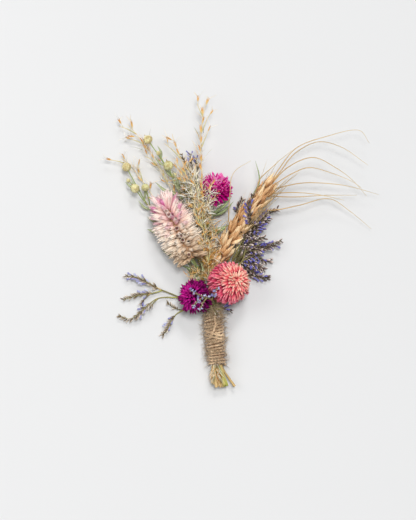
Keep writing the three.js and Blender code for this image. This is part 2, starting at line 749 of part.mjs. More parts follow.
addPiece(
  "grass_left_lower",
  [
    ...grassStalk(
      [
        ...boundStretch(-1, -2), [-20.6, -27, 0.6], [-28.6, -11, 0.6], [-37.4, 7, 0.8],
        [-45.6, 20, 2.6], [-53.4, 32, 3.4], [-61, 41.6, 4.2], [-66.6, 46.4, 5.4],
      ],
      85,
      { from: 0.7 },
    ),
    ...grassStalk([[-62.2, 42.8, 4.4], [-67.4, 44.6, 6], [-73, 45.6, 6.6]], 86, { from: 0.6 }),
    ...grassStalk([[-55, 34, 3.6], [-56.2, 39, 5], [-58.2, 43, 6.4]], 87, { from: 0.6 }),
  ],
  MATERIALS.grass,
);

// Seed pods: a round ribbed capsule with a short point, closing each thin branch.
function pod(end, direction, radius) {
  const along = vec(direction).normalize();
  const across = along.clone().cross(UP).normalize();
  const rise = across.clone().cross(along);
  const outline = [[-0.9, 0.3], [-0.45, 0.92], [0.3, 0.95], [0.85, 0.4]];
  const rings = outline.map(([height, width]) => {
    const ring = [];
    for (let k = 0; k < 6; k++) {
      const angle = (k / 6) * 2 * Math.PI;
      const reach = radius * width;
      const p = vec(end).addScaledVector(along, radius * (height + 0.8));
      p.addScaledVector(across, Math.cos(angle) * reach).addScaledVector(rise, Math.sin(angle) * reach);
      ring.push(p);
    }
    return ring;
  });
  rings.push([vec(end).addScaledVector(along, radius * 2.1)]);
  return loft(rings);
}

function podBranch(points, radius) {
  const curve = smoothCurve(points);
  const end = curve.getPointAt(1);
  return [stem(points, 0.42, 0.4), pod(end, curve.getTangentAt(1), radius)];
}

addPiece(
  "pod_spray_upper",
  [
    ...podBranch(
      [
        ...boundStretch(-1, 0), [-19.2, -27, 3.2], [-23.4, -12, 3], [-27.4, 6, 4.4],
        [-32.8, 24, 7], [-38, 35.4, 8], [-44.8, 46.4, 8.4], [-50.6, 54.8, 8],
      ],
      2.2,
    ),
    ...podBranch([[-41.4, 41.2, 8.3], [-43.6, 45, 10.4], [-45.4, 48, 11.4]], 2.3),
    ...podBranch([[-36, 31.4, 7.8], [-38.4, 36.6, 10.6], [-40.6, 40.8, 11.8]], 2.1),
    ...podBranch([[-34.4, 28, 7.4], [-34.6, 32.6, 9.4], [-36.6, 36, 10]], 2.1),
    leaf([[-44.6, 46.2, 8.4], [-44.4, 49.4, 9.6], [-46.6, 53.4, 9.6]], 1.7, { steps: 4 }),
    leaf([[-38.2, 35.8, 8.1], [-40.6, 38, 7], [-43.6, 42.6, 6.4]], 1.7, { steps: 4 }),
    leaf(
      [[-33, 24.6, 7.1], [-37.6, 27.6, 8.4], [-42.6, 29.4, 9], [-47, 33.6, 8.6]],
      2,
      { steps: 4 },
    ),
  ],
  MATERIALS.pod,
);

addPiece(
  "pod_spray_left",
  [
    ...podBranch(
      [
        ...boundStretch(-1.5, -1), [-21.4, -26, 1.8], [-30.6, -10, 1.1], [-40.8, 4.6, 1.2],
        [-50, 17.6, 2.6], [-57, 29.4, 5.4], [-62.6, 39.6, 7],
      ],
      2.2,
    ),
    ...podBranch([[-51.6, 20.4, 3.2], [-55.2, 24.6, 6.4], [-57.6, 28, 8.4]], 2.3),
    ...podBranch([[-50.4, 18.4, 2.8], [-51.4, 24.4, 6.4], [-52.6, 28.6, 8.2]], 2.2),
    ...podBranch([[-56.4, 28.4, 5.2], [-60, 31.4, 6], [-61.8, 33.4, 6.4]], 1.9),
    leaf([[-50.4, 18.2, 2.8], [-53.8, 19.4, 4.4], [-57.4, 23.4, 5]], 1.9, { steps: 4 }),
    leaf([[-45.6, 11.4, 1.8], [-48.6, 11.6, 3.4], [-52.6, 14.4, 4]], 1.9, { steps: 4 }),
    leaf([[-41.4, 5.4, 1.3], [-45.4, 4.6, 2.2], [-50.6, 6.8, 3]], 2.6, { steps: 4 }),
    leaf([[-33.4, -6.2, 1.1], [-38.6, -6.8, 1.6], [-43.4, -4.8, 2.4]], 2.6, { steps: 4 }),
  ],
  MATERIALS.pod,
);

addPiece(
  "green_blade",
  [
    leaf(
      [
        ...boundStretch(0.5, -1), [-15.6, -27, 2.3], [-14.4, -12, 1.6], [-4.6, 8, 2.4],
        [5.6, 25, 5.4], [9.6, 34, 8], [7.4, 45, 9],
      ],
      1.1,
      { steps: 22, thickness: 0.9 },
    ),
  ],
  MATERIALS.green,
);

// Jute binding: eighteen slanting turns side by side, hollow where the stems run, pressed flat below.
function twineBinding() {
  const along = WRAP_END.clone().sub(WRAP_TOP);
  const down = along.clone().normalize();
  const across = down.clone().cross(UP).normalize();
  const around = 12;
  const ring = (t, radius, slant) => {
    const points = [];
    for (let k = 0; k < around; k++) {
      const angle = (k / around) * 2 * Math.PI;
      const centre = WRAP_TOP.clone().addScaledVector(along, t);
      const p = centre.addScaledVector(down, slant * Math.cos(angle));
      p.addScaledVector(across, Math.cos(angle) * radius).addScaledVector(UP, Math.sin(angle) * radius);
      points.push(p);
    }
    return points;
  };
  const bore = (t) => STEM_PITCH * 2 * lerp(1, BUNDLE_TIGHTENING, t) + STEM_RADIUS + BORE_ROOM;
  const outer = [];
  for (let turn = 0; turn < WRAP_TURNS; turn++) {
    for (const [share, height] of [[0, 0.55], [0.5, 1]]) {
      const t = (turn + share) / WRAP_TURNS;
      outer.push(ring(t, bore(t) + TWINE_THICKNESS * height, TWINE_THICKNESS * 0.3));
    }
  }
  outer.push(ring(1, bore(1) + TWINE_THICKNESS * 0.55, TWINE_THICKNESS * 0.3));
  const hollow = loft([-0.1, 1.1].map((t) => ring(t, bore(t), 0)));
  return loft(outer).subtract(hollow);
}

const tail = stem([[-14.9, -41.4, 10], [-14.4, -44.6, 10.3], [-15.6, -48.6, 10.3],
  [-17, -52, 9.6]], 0.55, 0.4, { sides: 5 });
addPiece("twine_wrap", [twineBinding(), tail], MATERIALS.twine);

// The origin is the middle of the whole, on the surface it lies on.
const middle = new THREE.Box3().setFromObject(part).getCenter(new THREE.Vector3());
part.children.forEach((mesh) => mesh.geometry.translate(-middle.x, -middle.y, 0));

export default part;
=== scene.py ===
import math

import bpy
import numpy as np
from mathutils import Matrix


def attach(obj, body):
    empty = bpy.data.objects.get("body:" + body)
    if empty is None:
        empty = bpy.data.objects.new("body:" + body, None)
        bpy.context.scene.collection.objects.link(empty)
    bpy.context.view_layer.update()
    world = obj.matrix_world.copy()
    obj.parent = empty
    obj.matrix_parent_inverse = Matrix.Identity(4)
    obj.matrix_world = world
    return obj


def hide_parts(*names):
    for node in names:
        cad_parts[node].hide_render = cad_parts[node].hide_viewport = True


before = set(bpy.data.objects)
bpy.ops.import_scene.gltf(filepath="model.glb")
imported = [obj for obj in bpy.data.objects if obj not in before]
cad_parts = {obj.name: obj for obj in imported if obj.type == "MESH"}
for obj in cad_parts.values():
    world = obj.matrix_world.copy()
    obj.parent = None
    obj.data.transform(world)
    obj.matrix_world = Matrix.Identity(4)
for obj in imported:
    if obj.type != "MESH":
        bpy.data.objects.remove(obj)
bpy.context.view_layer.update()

# Flower stems. Eighteen stems, the ones here round and green and dried to straw where they were
# cut, run side by side through the binding and fan out above it. Some keep a few narrow leaves.
DRAWING_TO_FRAME = np.array([0.8163, -1.4576, 0.0])
UP = np.array([0.0, 0.0, 1.0])
WRAP_TOP = np.array([-16.1, -38.2, 4.7])
WRAP_END = np.array([-13.6, -68.2, 4.5])
STEM_PITCH = 1.5
TIGHTENING = 0.93  # the pitch at the binding's end, as a share of the pitch at its top
CUT_LENGTH = 10.5
CUT_UNEVEN = 1.3
CUT_FAN = 1.6
CUT_SHIFT = 0.6
BOUND_SHARES = (1.03, 0.9, 0.4, -0.03)  # where a stem is led through, down the binding and past it
CURVE_STEPS = 24
MM_TO_METRE = 1000
FLOOR_GAP = 0.02
BUTT_REACH = 8.0  # a stem thickens over about this length towards its cut
STEM, LEAF, BRISTLE, FLOWER, FLORET = 0.0, 1.0, 2.0, 3.0, 4.0  # what a point belongs to
CUT_SHARE = -1.0  # marks the middle of a stem's cut face
MARKS = ("share", "side", "tint", "place", "kind")
LEAF_ACROSS = np.array([1, 0.55, 0.12, 0, -0.12, -0.55, -1, -0.55, 0, 0.55])
LEAF_ABOVE = np.array([0, 1, 1.0, 0.2, 1.0, 1, 0, -1, -1.6, -1])


def unit(vectors):
    """The same directions with length one."""
    vectors = np.asarray(vectors, float)
    return vectors / np.maximum(np.linalg.norm(vectors, axis=-1, keepdims=True), 1e-9)


DOWN = unit(WRAP_END - WRAP_TOP)
RIGHT = unit(np.cross(UP, DOWN))


def line_through(points, spacing=0.8):
    """Evenly spaced points on the smooth curve that the CAD draws through the same points."""
    p = np.asarray(points, float)
    p = np.vstack([2 * p[0] - p[1], p, 2 * p[-1] - p[-2]])
    a, b, c, d = p[:-3], p[1:-2], p[2:-1], p[3:]
    s0, s1, s2 = (
        np.sqrt(np.linalg.norm(v - u, axis=1, keepdims=True)) for u, v in ((a, b), (b, c), (c, d))
    )
    leave = ((b - a) / s0 - (c - a) / (s0 + s1) + (c - b) / s1) * s1
    arrive = ((c - b) / s1 - (d - b) / (s1 + s2) + (d - c) / s2) * s1
    t = np.linspace(0, 1, CURVE_STEPS, endpoint=False)[:, None, None]
    dense = b + leave * t + (3 * (c - b) - 2 * leave - arrive) * t**2
    dense = dense + (2 * (b - c) + leave + arrive) * t**3
    dense = np.vstack([dense.transpose(1, 0, 2).reshape(-1, 3), c[-1:]])
    run = np.concatenate([[0], lengths(dense).cumsum()])
    even = np.linspace(0, run[-1], max(4, round(run[-1] / spacing)) + 1)
    return np.column_stack([np.interp(even, run, dense[:, k]) for k in range(3)])


def lengths(line):
    """The length of each step of a line."""
    return np.linalg.norm(np.diff(line, axis=0), axis=1)


def carried(line, up=UP):
    """Across, along and rise at each point of a line, carried along it without twisting."""
    along = unit(np.gradient(line, axis=0))
    rise = np.empty_like(along)
    last = np.asarray(up, float)
    for i, ahead in enumerate(along):
        last = unit(last - ahead * (last @ ahead))
        rise[i] = last
    return np.cross(rise, along), along, rise


def bundle_place(column, row, share):
    """Where a stem of the bundle lies at a share of the way down the binding."""
    pitch = STEM_PITCH * (1 + (TIGHTENING - 1) * share)
    place = WRAP_TOP + (WRAP_END - WRAP_TOP) * share + RIGHT * column * pitch
    return place + UP * row * pitch * math.sin(math.pi / 3)


def bound(column, row, splay=0.0):
    """A stem's way from its cut end up to the top of the binding."""
    cut = CUT_UNEVEN * math.sin(7.3 * column + 4.1 * row)
    end = bundle_place(column * CUT_FAN + CUT_SHIFT, row, 1) + DOWN * (CUT_LENGTH + cut)
    end = end + np.array([splay, 0, 0])
    return [end] + [bundle_place(column, row, share) for share in BOUND_SHARES]


def ring(radius, corners, ridge=0.0):
    """Round sections of the given radius, with every second corner drawn in by the ridge."""
    angle = np.arange(corners) / corners * 2 * math.pi
    rib = 1 - ridge * (np.arange(corners) % 2)
    return np.stack([radius * np.cos(angle) * rib, radius * np.sin(angle) * rib], axis=-1)


def skin(rings, around):
    """Quads between rings of points, and fans of triangles to the two end points after them."""
    i, k = np.meshgrid(np.arange(rings - 1), np.arange(around), indexing="ij")
    after = (k + 1) % around
    quads = [i * around + k, i * around + after, (i + 1) * around + after, (i + 1) * around + k]
    k = np.arange(around)
    after = (k + 1) % around
    last = (rings - 1) * around
    start = np.column_stack([np.full(around, rings * around), after, k])
    end = np.column_stack([np.full(around, rings * around + 1), last + k, last + after])
    return np.stack(quads, axis=-1).reshape(-1, 4), np.vstack([start, end])


class Growth:
    """Many small bodies that make one piece, each point marked for the piece's finish."""

    def __init__(self):
        self.points, self.quads, self.corners, self.marks = [], [], [], []
        self.count = 0

    def put(self, points, quads, corners, marks):
        """Adds bodies whose faces are numbered from their own first point."""
        self.points.append(points)
        self.quads.append(quads + self.count)
        self.corners.append(corners + self.count)
        self.marks.append(np.column_stack([m.ravel() for m in np.broadcast_arrays(*marks)]))
        self.count += len(points)

    def sweep(self, line, sections, up=UP, tint=0.5, place=0.5, kind=STEM):
        """A body along a line; sections give each ring's corners across and above the line."""
        line = np.asarray(line, float)
        n, k = sections.shape[:2]
        across, _, rise = carried(line, up)
        rings = line[:, None] + sections[..., :1] * across[:, None] + sections[..., 1:] * rise[:, None]
        points = np.vstack([rings.reshape(-1, 3), line[:1], line[-1:]])
        share = np.concatenate([np.repeat(np.linspace(0, 1, n), k), [CUT_SHARE, 1]])
        reach = np.maximum(np.abs(sections[..., 0]).max(axis=1, keepdims=True), 1e-6)
        side = np.concatenate([(sections[..., 0] / reach).ravel(), [0, 0]])
        self.put(points, *skin(n, k), (share, side, tint, place, kind))

    def tube(self, line, radii, corners=6, ridge=0.0, butt=0.0, **marks):
        """A round or ribbed stalk whose radius runs through the given radii, thicker at its butt."""
        share = np.linspace(0, 1, len(line))
        run = np.concatenate([[0], lengths(line).cumsum()])
        radius = np.interp(share, np.linspace(0, 1, len(radii)), radii)
        radius = radius + butt * np.clip(1.3 - run / BUTT_REACH, 0, 1)
        self.sweep(line, ring(radius[:, None], corners, ridge), **marks)

    def blade(self, points, width, fold=0.3, thickness=0.22, spacing=0.9, grassy=False, **marks):
        """A narrow leaf folded along its midrib: rounded at its root, or grassy and even up to its tip."""
        line = line_through(points, spacing)
        share = np.linspace(0, 1, len(line))
        half = np.sin(math.pi * (0.1 + 0.9 * share) ** 0.8) * width / 2
        if grassy:
            half = np.minimum(1, (1 - share) * 8) ** 0.7 * width / 2
        half = np.maximum(half, 0.05)[:, None]
        above = np.abs(LEAF_ACROSS) * fold * half + LEAF_ABOVE * thickness / 2
        self.sweep(line, np.stack([LEAF_ACROSS * half, above], axis=-1), kind=LEAF, **marks)

    def sow(self, shape, roots, along, face, sizes, tint=0.5, place=0.5, kind=FLOWER):
        """Copies of a shape: each root, its direction, the way its face looks, and its sizes."""
        roots = np.atleast_2d(roots)
        along = unit(np.broadcast_to(along, roots.shape))
        across = unit(np.cross(np.broadcast_to(face, roots.shape), along))
        rise = np.cross(along, across)
        sizes = np.broadcast_to(sizes, roots.shape)
        x, y, z = (shape.points[None, :, i, None] for i in range(3))
        wide, long, thick = (sizes[:, None, i, None] for i in range(3))
        points = roots[:, None] + x * wide * across[:, None] + y * long * along[:, None]
        points = points + z * thick * rise[:, None]
        step = np.arange(len(roots)) * len(shape.points)
        quads = (shape.quads[None] + step[:, None, None]).reshape(-1, 4)
        corners = (shape.corners[None] + step[:, None, None]).reshape(-1, 3)
        tint, place = (np.broadcast_to(value, len(roots))[:, None] for value in (tint, place))
        marks = (shape.share[None] + 0 * tint, shape.side[None], tint, place, kind)
        self.put(points.reshape(-1, 3), quads, corners, marks)


def piece(growth, name, material):
    """Makes a growth one object that rides on the part and stands for the CAD node of its name."""
    points = np.vstack(growth.points) + DRAWING_TO_FRAME
    points[:, 2] = np.maximum(points[:, 2], FLOOR_GAP)
    quads, corners = np.vstack(growth.quads), np.vstack(growth.corners)
    mesh = bpy.data.meshes.new(name)
    mesh.vertices.add(len(points))
    mesh.vertices.foreach_set("co", (points / MM_TO_METRE).ravel())
    loops = np.concatenate([quads.ravel(), corners.ravel()])
    mesh.loops.add(len(loops))
    mesh.loops.foreach_set("vertex_index", loops)
    starts = np.concatenate([np.arange(len(quads)) * 4, len(quads) * 4 + np.arange(len(corners)) * 3])
    mesh.polygons.add(len(starts))
    mesh.polygons.foreach_set("loop_start", starts)
    mesh.polygons.foreach_set("use_smooth", np.ones(len(starts), bool))
    mesh.update(calc_edges=True)
    marks = np.vstack(growth.marks)
    for i, mark in enumerate(MARKS):
        mesh.attributes.new(mark, "FLOAT", "POINT").data.foreach_set("value", marks[:, i].copy())
    mesh.materials.append(material)
    made = bpy.data.objects.new(name, mesh)
    bpy.context.scene.collection.objects.link(made)
    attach(made, "root")
    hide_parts(name)


def tone(red, green, blue):
    """A colour from its 0-255 screen values."""
    channels = [c / 255 for c in (red, green, blue)]
    return tuple(c / 12.92 if c <= 0.04045 else ((c + 0.055) / 1.055) ** 2.4 for c in channels) + (1.0,)


class Shade:
    """A shader socket; sums, products and comparisons of shades add their Math nodes."""

    def __init__(self, tree, socket=None):
        self.tree = tree
        self.socket = socket

    def node(self, kind, settings=None, inputs=None, output=0):
        """One node: its settings first, then the values or links of its sockets."""
        made = self.tree.nodes.new(kind)
        for name, value in (settings or {}).items():
            if name == "stops":
                stops = made.color_ramp.elements
                stops.remove(stops[-1])
                stops[0].position, stops[0].color = value[0]
                for position, colour in value[1:]:
                    stops.new(position).color = colour
            else:
                setattr(made, name, value)
        for name, value in (inputs or {}).items():
            if isinstance(value, Shade):
                self.tree.links.new(value.socket, made.inputs[name])
            else:
                made.inputs[name].default_value = value
        return Shade(self.tree, made.outputs[output])

    def math(self, operation, first, second=0.0):
        return self.node("ShaderNodeMath", {"operation": operation}, {0: first, 1: second})

    def __add__(self, other):
        return self.math("ADD", self, other)

    def __sub__(self, other):
        return self.math("SUBTRACT", self, other)

    def __rsub__(self, other):
        return self.math("SUBTRACT", other, self)

    def __mul__(self, other):
        return self.math("MULTIPLY", self, other)

    def __gt__(self, other):
        return self.math("GREATER_THAN", self, other)

    def __lt__(self, other):
        return self.math("LESS_THAN", self, other)

    __radd__ = __add__
    __rmul__ = __mul__

    def __abs__(self):
        return self.math("ABSOLUTE", self)

    def levelled(self):
        """The same value, levelling off softly towards one."""
        return self.math("SMOOTH_MIN", 1.0, self)

    def mark(self, name):
        """What the growth has written on its points under this name."""
        return self.node("ShaderNodeAttribute", {"attribute_name": name}, output="Fac")

    def blend(self, mask, low, high):
        """The colour low where the mask is 0, and high where it is 1."""
        low, high = (c if isinstance(c, Shade) else tone(*c) for c in (low, high))
        return self.node("ShaderNodeMix", {"data_type": "RGBA"}, {0: mask, 6: low, 7: high}, 2)

    def ramp(self, value, *stops):
        """Colours along a value: each stop is its position and the colour's screen values."""
        stops = [(position, tone(*colour)) for position, *colour in stops]
        return self.node("ShaderNodeValToRGB", {"stops": stops}, {"Fac": value})

    def from_kind(self, kind, below, above):
        """One colour on the points of lesser kinds, and another from this kind on."""
        return self.blend(self.mark("kind") > kind - 0.5, below, above)

    def pith(self, colour, pale):
        """A colour with pale pith in the middle of the cut face."""
        return self.blend(self.mark("share") < -0.02, colour, pale)

    def noise(self, x, y, z, scale, detail=2.0):
        """Noise at a place that is worked out from other shades."""
        spot = self.node("ShaderNodeCombineXYZ", inputs={"X": x, "Y": y, "Z": z})
        return self.node("ShaderNodeTexNoise", inputs={"Vector": spot, "Scale": scale, "Detail": detail})

    def streaks(self, across, along, scale=4.0):
        """Fine streaks that run along each small body and differ from one body to the next."""
        body = self.mark("tint") * 37 + self.mark("place") * 11
        return self.noise(self.mark("side") * across, self.mark("share") * along, body, scale)

    def mottle(self, scale, detail=3.0):
        """Soft blotches in space, scale to the metre."""
        spot = self.node("ShaderNodeTexCoord", output="Object")
        return self.node("ShaderNodeTexNoise", inputs={"Vector": spot, "Scale": scale, "Detail": detail})

    def bump(self, height, depth, strength=0.6):
        """Relief of the given depth in metres."""
        sockets = {"Strength": strength, "Distance": depth, "Height": height}
        return self.node("ShaderNodeBump", inputs=sockets)


def finish(name, make):
    """A material whose shader inputs are what make() returns."""
    material = bpy.data.materials.new(name)
    material.use_nodes = True
    tree = material.node_tree
    shader = tree.nodes["Principled BSDF"]
    for socket, value in make(Shade(tree)).items():
        if isinstance(value, Shade):
            tree.links.new(value.socket, shader.inputs[socket])
        else:
            shader.inputs[socket].default_value = value
    return material


PITH = (236, 226, 186)


def stalk_colour(s, low, high, straw, dry_end):
    """Between two tones of stalk, with straw or fresh green over the share next to the cut."""
    streak = s.streaks(across=1.5, along=14)
    fibre = (s.streaks(across=4, along=36) - 0.34) * 4
    stalk = s.blend(streak * 0.7 + s.mark("tint") * 0.8 - 0.25, low, high)
    dry = s.blend(fibre, (146, 88, 40), straw)
    fresh = s.blend(fibre, (104, 114, 28), (212, 212, 100))
    end = s.blend((s.mark("tint") - 0.5) * 2.4, dry, fresh)
    return s.pith(s.blend((s.mark("share") * (1 / dry_end)).levelled(), end, stalk), PITH)


def green_stem(s):
    stalk = stalk_colour(s, (122, 132, 72), (170, 176, 112), (240, 212, 152), 0.22)
    edge = abs(s.mark("side"))
    vein = s.noise(edge * 2 + s.mark("share") * 9, 0.0, s.mark("tint") * 9, 7.0)
    leaf = s.blend((vein - 0.3) * 2.4, (84, 108, 56), (172, 188, 130))
    leaf = s.blend((s.mark("tint") - 0.55) * 2.4, leaf, (206, 210, 186))
    leaf = s.blend(edge < 0.14, leaf, (196, 208, 164))
    relief = s.bump(s.streaks(across=2, along=22), 0.0001)
    return {"Base Color": s.from_kind(LEAF, stalk, leaf), "Roughness": 0.62, "Normal": relief}


GREEN_STEM = finish("green_stem", green_stem)
SALMON = {
    "centre": (-7.4, -22.3, 15.5), "radius": 12.0, "axis": (0.48, 0.34, 0.81),
    "apex": (0.55, 0.3, 0.78),
}
PURPLE = {"centre": (-25.6, -29.7, 13.0), "radius": 10.0, "axis": (-0.47, 0.14, 0.87)}
MAGENTA = {"centre": (-14.6, 29.2, 10.7), "radius": 9.5, "axis": (0.1, 0.75, 0.65)}
CORE_SHARE = 0.66
HEAD_GAP = 0.45
PLUME_BASE = np.array([-27.2, -8.5, 13.0])
PLUME_TIP = np.array([-41.5, 18.5, 15.0])
PLUME_AXIS = unit(PLUME_TIP - PLUME_BASE)
PLUME_GAP = 0.35


def head_base(head):
    """Where a stem meets the underside of its amaranth head."""
    return np.array(head["centre"]) - unit(head["axis"]) * (head["radius"] * CORE_SHARE + HEAD_GAP)


def flower_stem(name, start, way, radii, leaves=(), dried=0.2):
    """One stem with its leaves, each a width and the points of its midrib."""
    growth = Growth()
    tint = (start[0] + 2) / 4
    growth.tube(line_through(bound(*start) + way), radii, 10, ridge=0.1, butt=0.3, tint=tint)
    for i, (width, *points) in enumerate(leaves):
        growth.blade(points, width, tint=dried + 0.13 * i)
    piece(growth, name, GREEN_STEM)


flower_stem("salmon_amaranth_stem", (1, 2), [[-13.4, -32, 7.3], head_base(SALMON)], (0.66, 0.6, 0.55))
flower_stem("purple_amaranth_stem", (-1.5, 1), [[-20.9, -33.6, 5], head_base(PURPLE)], (0.66, 0.6, 0.5))
flower_stem("magenta_amaranth_stem", (1, 0), [
    [-17.4, -24, 3.6], [-18, -10, 5], [-18.2, 3, 6.2], [-17.2, 15, 5.6], head_base(MAGENTA),
], (0.68, 0.55, 0.5), [
    (1.9, [-17.4, 14.2, 5.6], [-13.5, 17.6, 9.6], [-9.5, 20.4, 12], [-5.6, 25.2, 13.2]),
    (1.8, [-17.2, 15, 5.6], [-12.5, 16, 6.4], [-8.6, 18.4, 6.6], [-4.6, 22.8, 5.2]),
    (3.4, [-18.2, 4.6, 7.1], [-14.6, 6.2, 10], [-11.8, 7.2, 10.4], [-7.4, 9.6, 9.2]),
    (3.4, [-18.2, 5.4, 6.1], [-19.5, 9, 7.6], [-19.2, 13, 8.4]),
    (2.6, [-18, 10, 6], [-20.4, 14, 8], [-20.8, 19, 9.4], [-19.8, 25, 10]),
    (2.2, [-17.6, 13, 5.8], [-16.6, 17, 7.4], [-17.6, 21, 8]),
    (3.6, [-18.2, 2, 5.7], [-21, 8, 6.2], [-23.4, 15, 6.6], [-24, 21, 6.4]),
    (3.4, [-18.1, 0, 5.4], [-22.4, 4, 5.8], [-26, 10, 6]),
    (3.4, [-18, 8, 5.9], [-21.6, 17, 7], [-26.4, 25, 7.4], [-29, 31, 7]),
    (3.0, [-17.6, 12, 5.8], [-22, 22, 8], [-24.4, 31, 8.4], [-24.6, 37, 8]),
])
flower_stem("celosia_stem", (-1, 2), [
    [-19.3, -29.5, 4.8], [-22.2, -19.5, 6.6], [-25.4, -12.4, 10.6], PLUME_BASE - PLUME_AXIS * PLUME_GAP,
], (0.66, 0.6, 0.8), [
    (1.3, [-23.2, -16.8, 8], [-26.5, -15.2, 9.6], [-30.5, -13.6, 9.2], [-36.4, -11.2, 7.6]),
    (1.5, [-22.4, -19, 6.8], [-25.4, -17.8, 8.6], [-28.2, -16, 7.4], [-31.4, -13.4, 5]),
    (1.5, [-22.6, -18.4, 7], [-24.2, -14, 10.4], [-27.6, -10.4, 11.6], [-31.8, -8.6, 11]),
    (1.5, [-22.8, -17.6, 7.4], [-25.2, -14.6, 10.6], [-26.2, -11.2, 13.6]),
    (1.4, [-21.6, -21.4, 6.2], [-24.6, -20.6, 9], [-28, -18.2, 9.4], [-29.4, -15.2, 9]),
    (1.5, [-22.2, -19.6, 6.6], [-21.4, -15.4, 9.4], [-23, -9.6, 11.4]),
    (1.5, [-22.6, -18.6, 7], [-25.6, -16.8, 8.4], [-26.6, -12.8, 8.6]),
    (1.3, [-22, -20, 6.6], [-24, -19.4, 10], [-27.6, -19.4, 11]),
], dried=0.0)
blade_growth = Growth()
blade_way = bound(0.5, -1) + [[-15.6, -27, 2.3], [-14.4, -12, 1.6], [-4.6, 8, 2.4], [5.6, 25, 5.4]]
blade_growth.blade(blade_way + [[9.6, 34, 8], [7.4, 45, 9]], 1.1, fold=0.35, grassy=True, tint=0.1)
piece(blade_growth, "green_blade", GREEN_STEM)

# Wheat. A bearded ear on a hollow straw: two rows of spikelets, each of plump ribbed husks that
# overlap like shingles, and long fine awns, dried to a satin tan. A few thin glumes stand loose at
# its foot, and fine hairs lie along its sides.
EAR_BASE = np.array([-15.4, -12.2, 6.2])
EAR_TIP = np.array([15.6, 31.6, 12.5])
EAR_BOW = np.array([-0.8, 0.6, 0.8])
EAR_NODES = 13
EAR_HAIRS = 36
CULM_RADII = (0.72, 0.6, 0.7)
RACHIS_RADII = (0.8, 0.5)  # the stalk inside the ear
AWN_RADII = (0.32, 0.28, 0.2, 0.09)
AWNS = [  # where each leaves the ear, and its way
    (0.9, [20, 40, 15], [29.4, 51.4, 17], [45.7, 57.8, 16], [64.7, 61.3, 12], [69.9, 54.7, 9]),
    (0.96, [21.4, 39.4, 14], [28.8, 48.6, 15], [41.3, 55, 14.4], [53.9, 52.5, 12.4], [69.3, 42.6, 8]),
    (0.98, [24.8, 40.9, 15], [38.7, 46.4, 16.4], [51.4, 40.7, 14.6], [60, 34.7, 11.6], [68.7, 25.6, 7]),
    (0.94, [28, 38, 12.6], [36.7, 41, 13], [48, 38.4, 12], [60.7, 33.4, 9], [65.8, 30, 7]),
    (0.92, [31.4, 32.4, 11.8], [41.3, 32.7, 12], [58, 31, 10.4], [75.2, 26.4, 7]),
    (0.88, [28, 27.3, 14], [40.7, 26.3, 14.4], [56, 23.2, 12]),
    (0.86, [28, 25, 9.6], [44.6, 25.9, 9], [63.3, 26.1, 6.4]),
    (0.68, [18, 17.8, 11.6], [31.4, 20.4, 12], [47.9, 24, 10.6], [59.4, 17.3, 7], [71.4, 7.6, 4]),
    (0.34, [-7.3, 11.6, 12], [-6.6, 27.4, 17.6], [-5.9, 35.4, 18], [-3.3, 39.6, 17], [4.7, 44.7, 14]),
    (0.16, [-13.6, 3.4, 14.4], [-16.8, 11.2, 19], [-20.6, 17.4, 22], [-25.9, 25, 22.6]),
    (0.84, [8.7, 32.6, 14.4], [18, 42.6, 16], [27, 50.2, 16.4]),
]
HUSKS = [  # how far each husk of a spikelet leans out and up, its place, length and width
    (0.46, 0.05, 1.0, 12.6, 2.0), (0.2, 0.36, 0.7, 12.4, 1.9), (0.24, -0.28, 0.7, 12.0, 1.8),
    (0.62, 0.34, 1.4, 8.6, 1.6), (0.62, -0.2, 1.4, 8.6, 1.6), (0.02, 0.44, 0.1, 10.0, 1.7),
]
LOOSE_GLUMES = np.array([
    [-12.4, -11.6, 8.4], [-11, -10, 8], [-9.8, -8.2, 7.8], [-9.4, -10.4, 7], [-8, -7.6, 7.4],
    [-11.8, -8.6, 9.6],
])
GLUME_WAY = np.array([0.62, 0.78, 0.06])
GLUME_SIZE = (0.85, 8.6, 0.8)


class Shape:
    """A small closed body drawn once, from its root at 0 to its tip at 1, to be set many times."""

    def __init__(self, sections, outline, ends=((0, 0), (1, 0))):
        """Each section is its place, width, thickness and lift; ends are the two end points."""
        sections = np.asarray(sections, float)
        outline = np.asarray(outline, float)
        share, wide, thick, lift = (sections[:, i][:, None] for i in range(4))
        x = outline[None, :, 0] * wide
        z = outline[None, :, 1] * thick + lift
        rings = np.stack([x, np.broadcast_to(share, x.shape), z], axis=-1).reshape(-1, 3)
        tips = np.array([[0, y, z_end] for y, z_end in ends], float)
        self.points = np.vstack([rings, tips])
        self.quads, self.corners = skin(len(sections), len(outline))
        self.share = self.points[:, 1]
        self.side = self.points[:, 0] / np.abs(self.points[:, 0]).max()


def at_shares(line, share):
    """Points of a line at the given shares of its length."""
    index = np.asarray(share) * (len(line) - 1)
    return np.column_stack([np.interp(index, np.arange(len(line)), line[:, k]) for k in range(3)])


def turned(line, share):
    """Across, along and rise of a line at the given shares of its length."""
    return (unit(at_shares(rows, share)) for rows in carried(line))


def hands(count):
    """One and minus one by turns, for small parts that stand on alternate sides."""
    return np.where(np.arange(count) % 2, 1.0, -1.0)[:, None]


def drawn(rng, count, *columns):
    """Columns of numbers: one as it is given, or drawn between the two of a pair."""
    return np.column_stack([
        rng.uniform(*column, count) if isinstance(column, tuple) else np.full(count, column)
        for column in columns
    ])


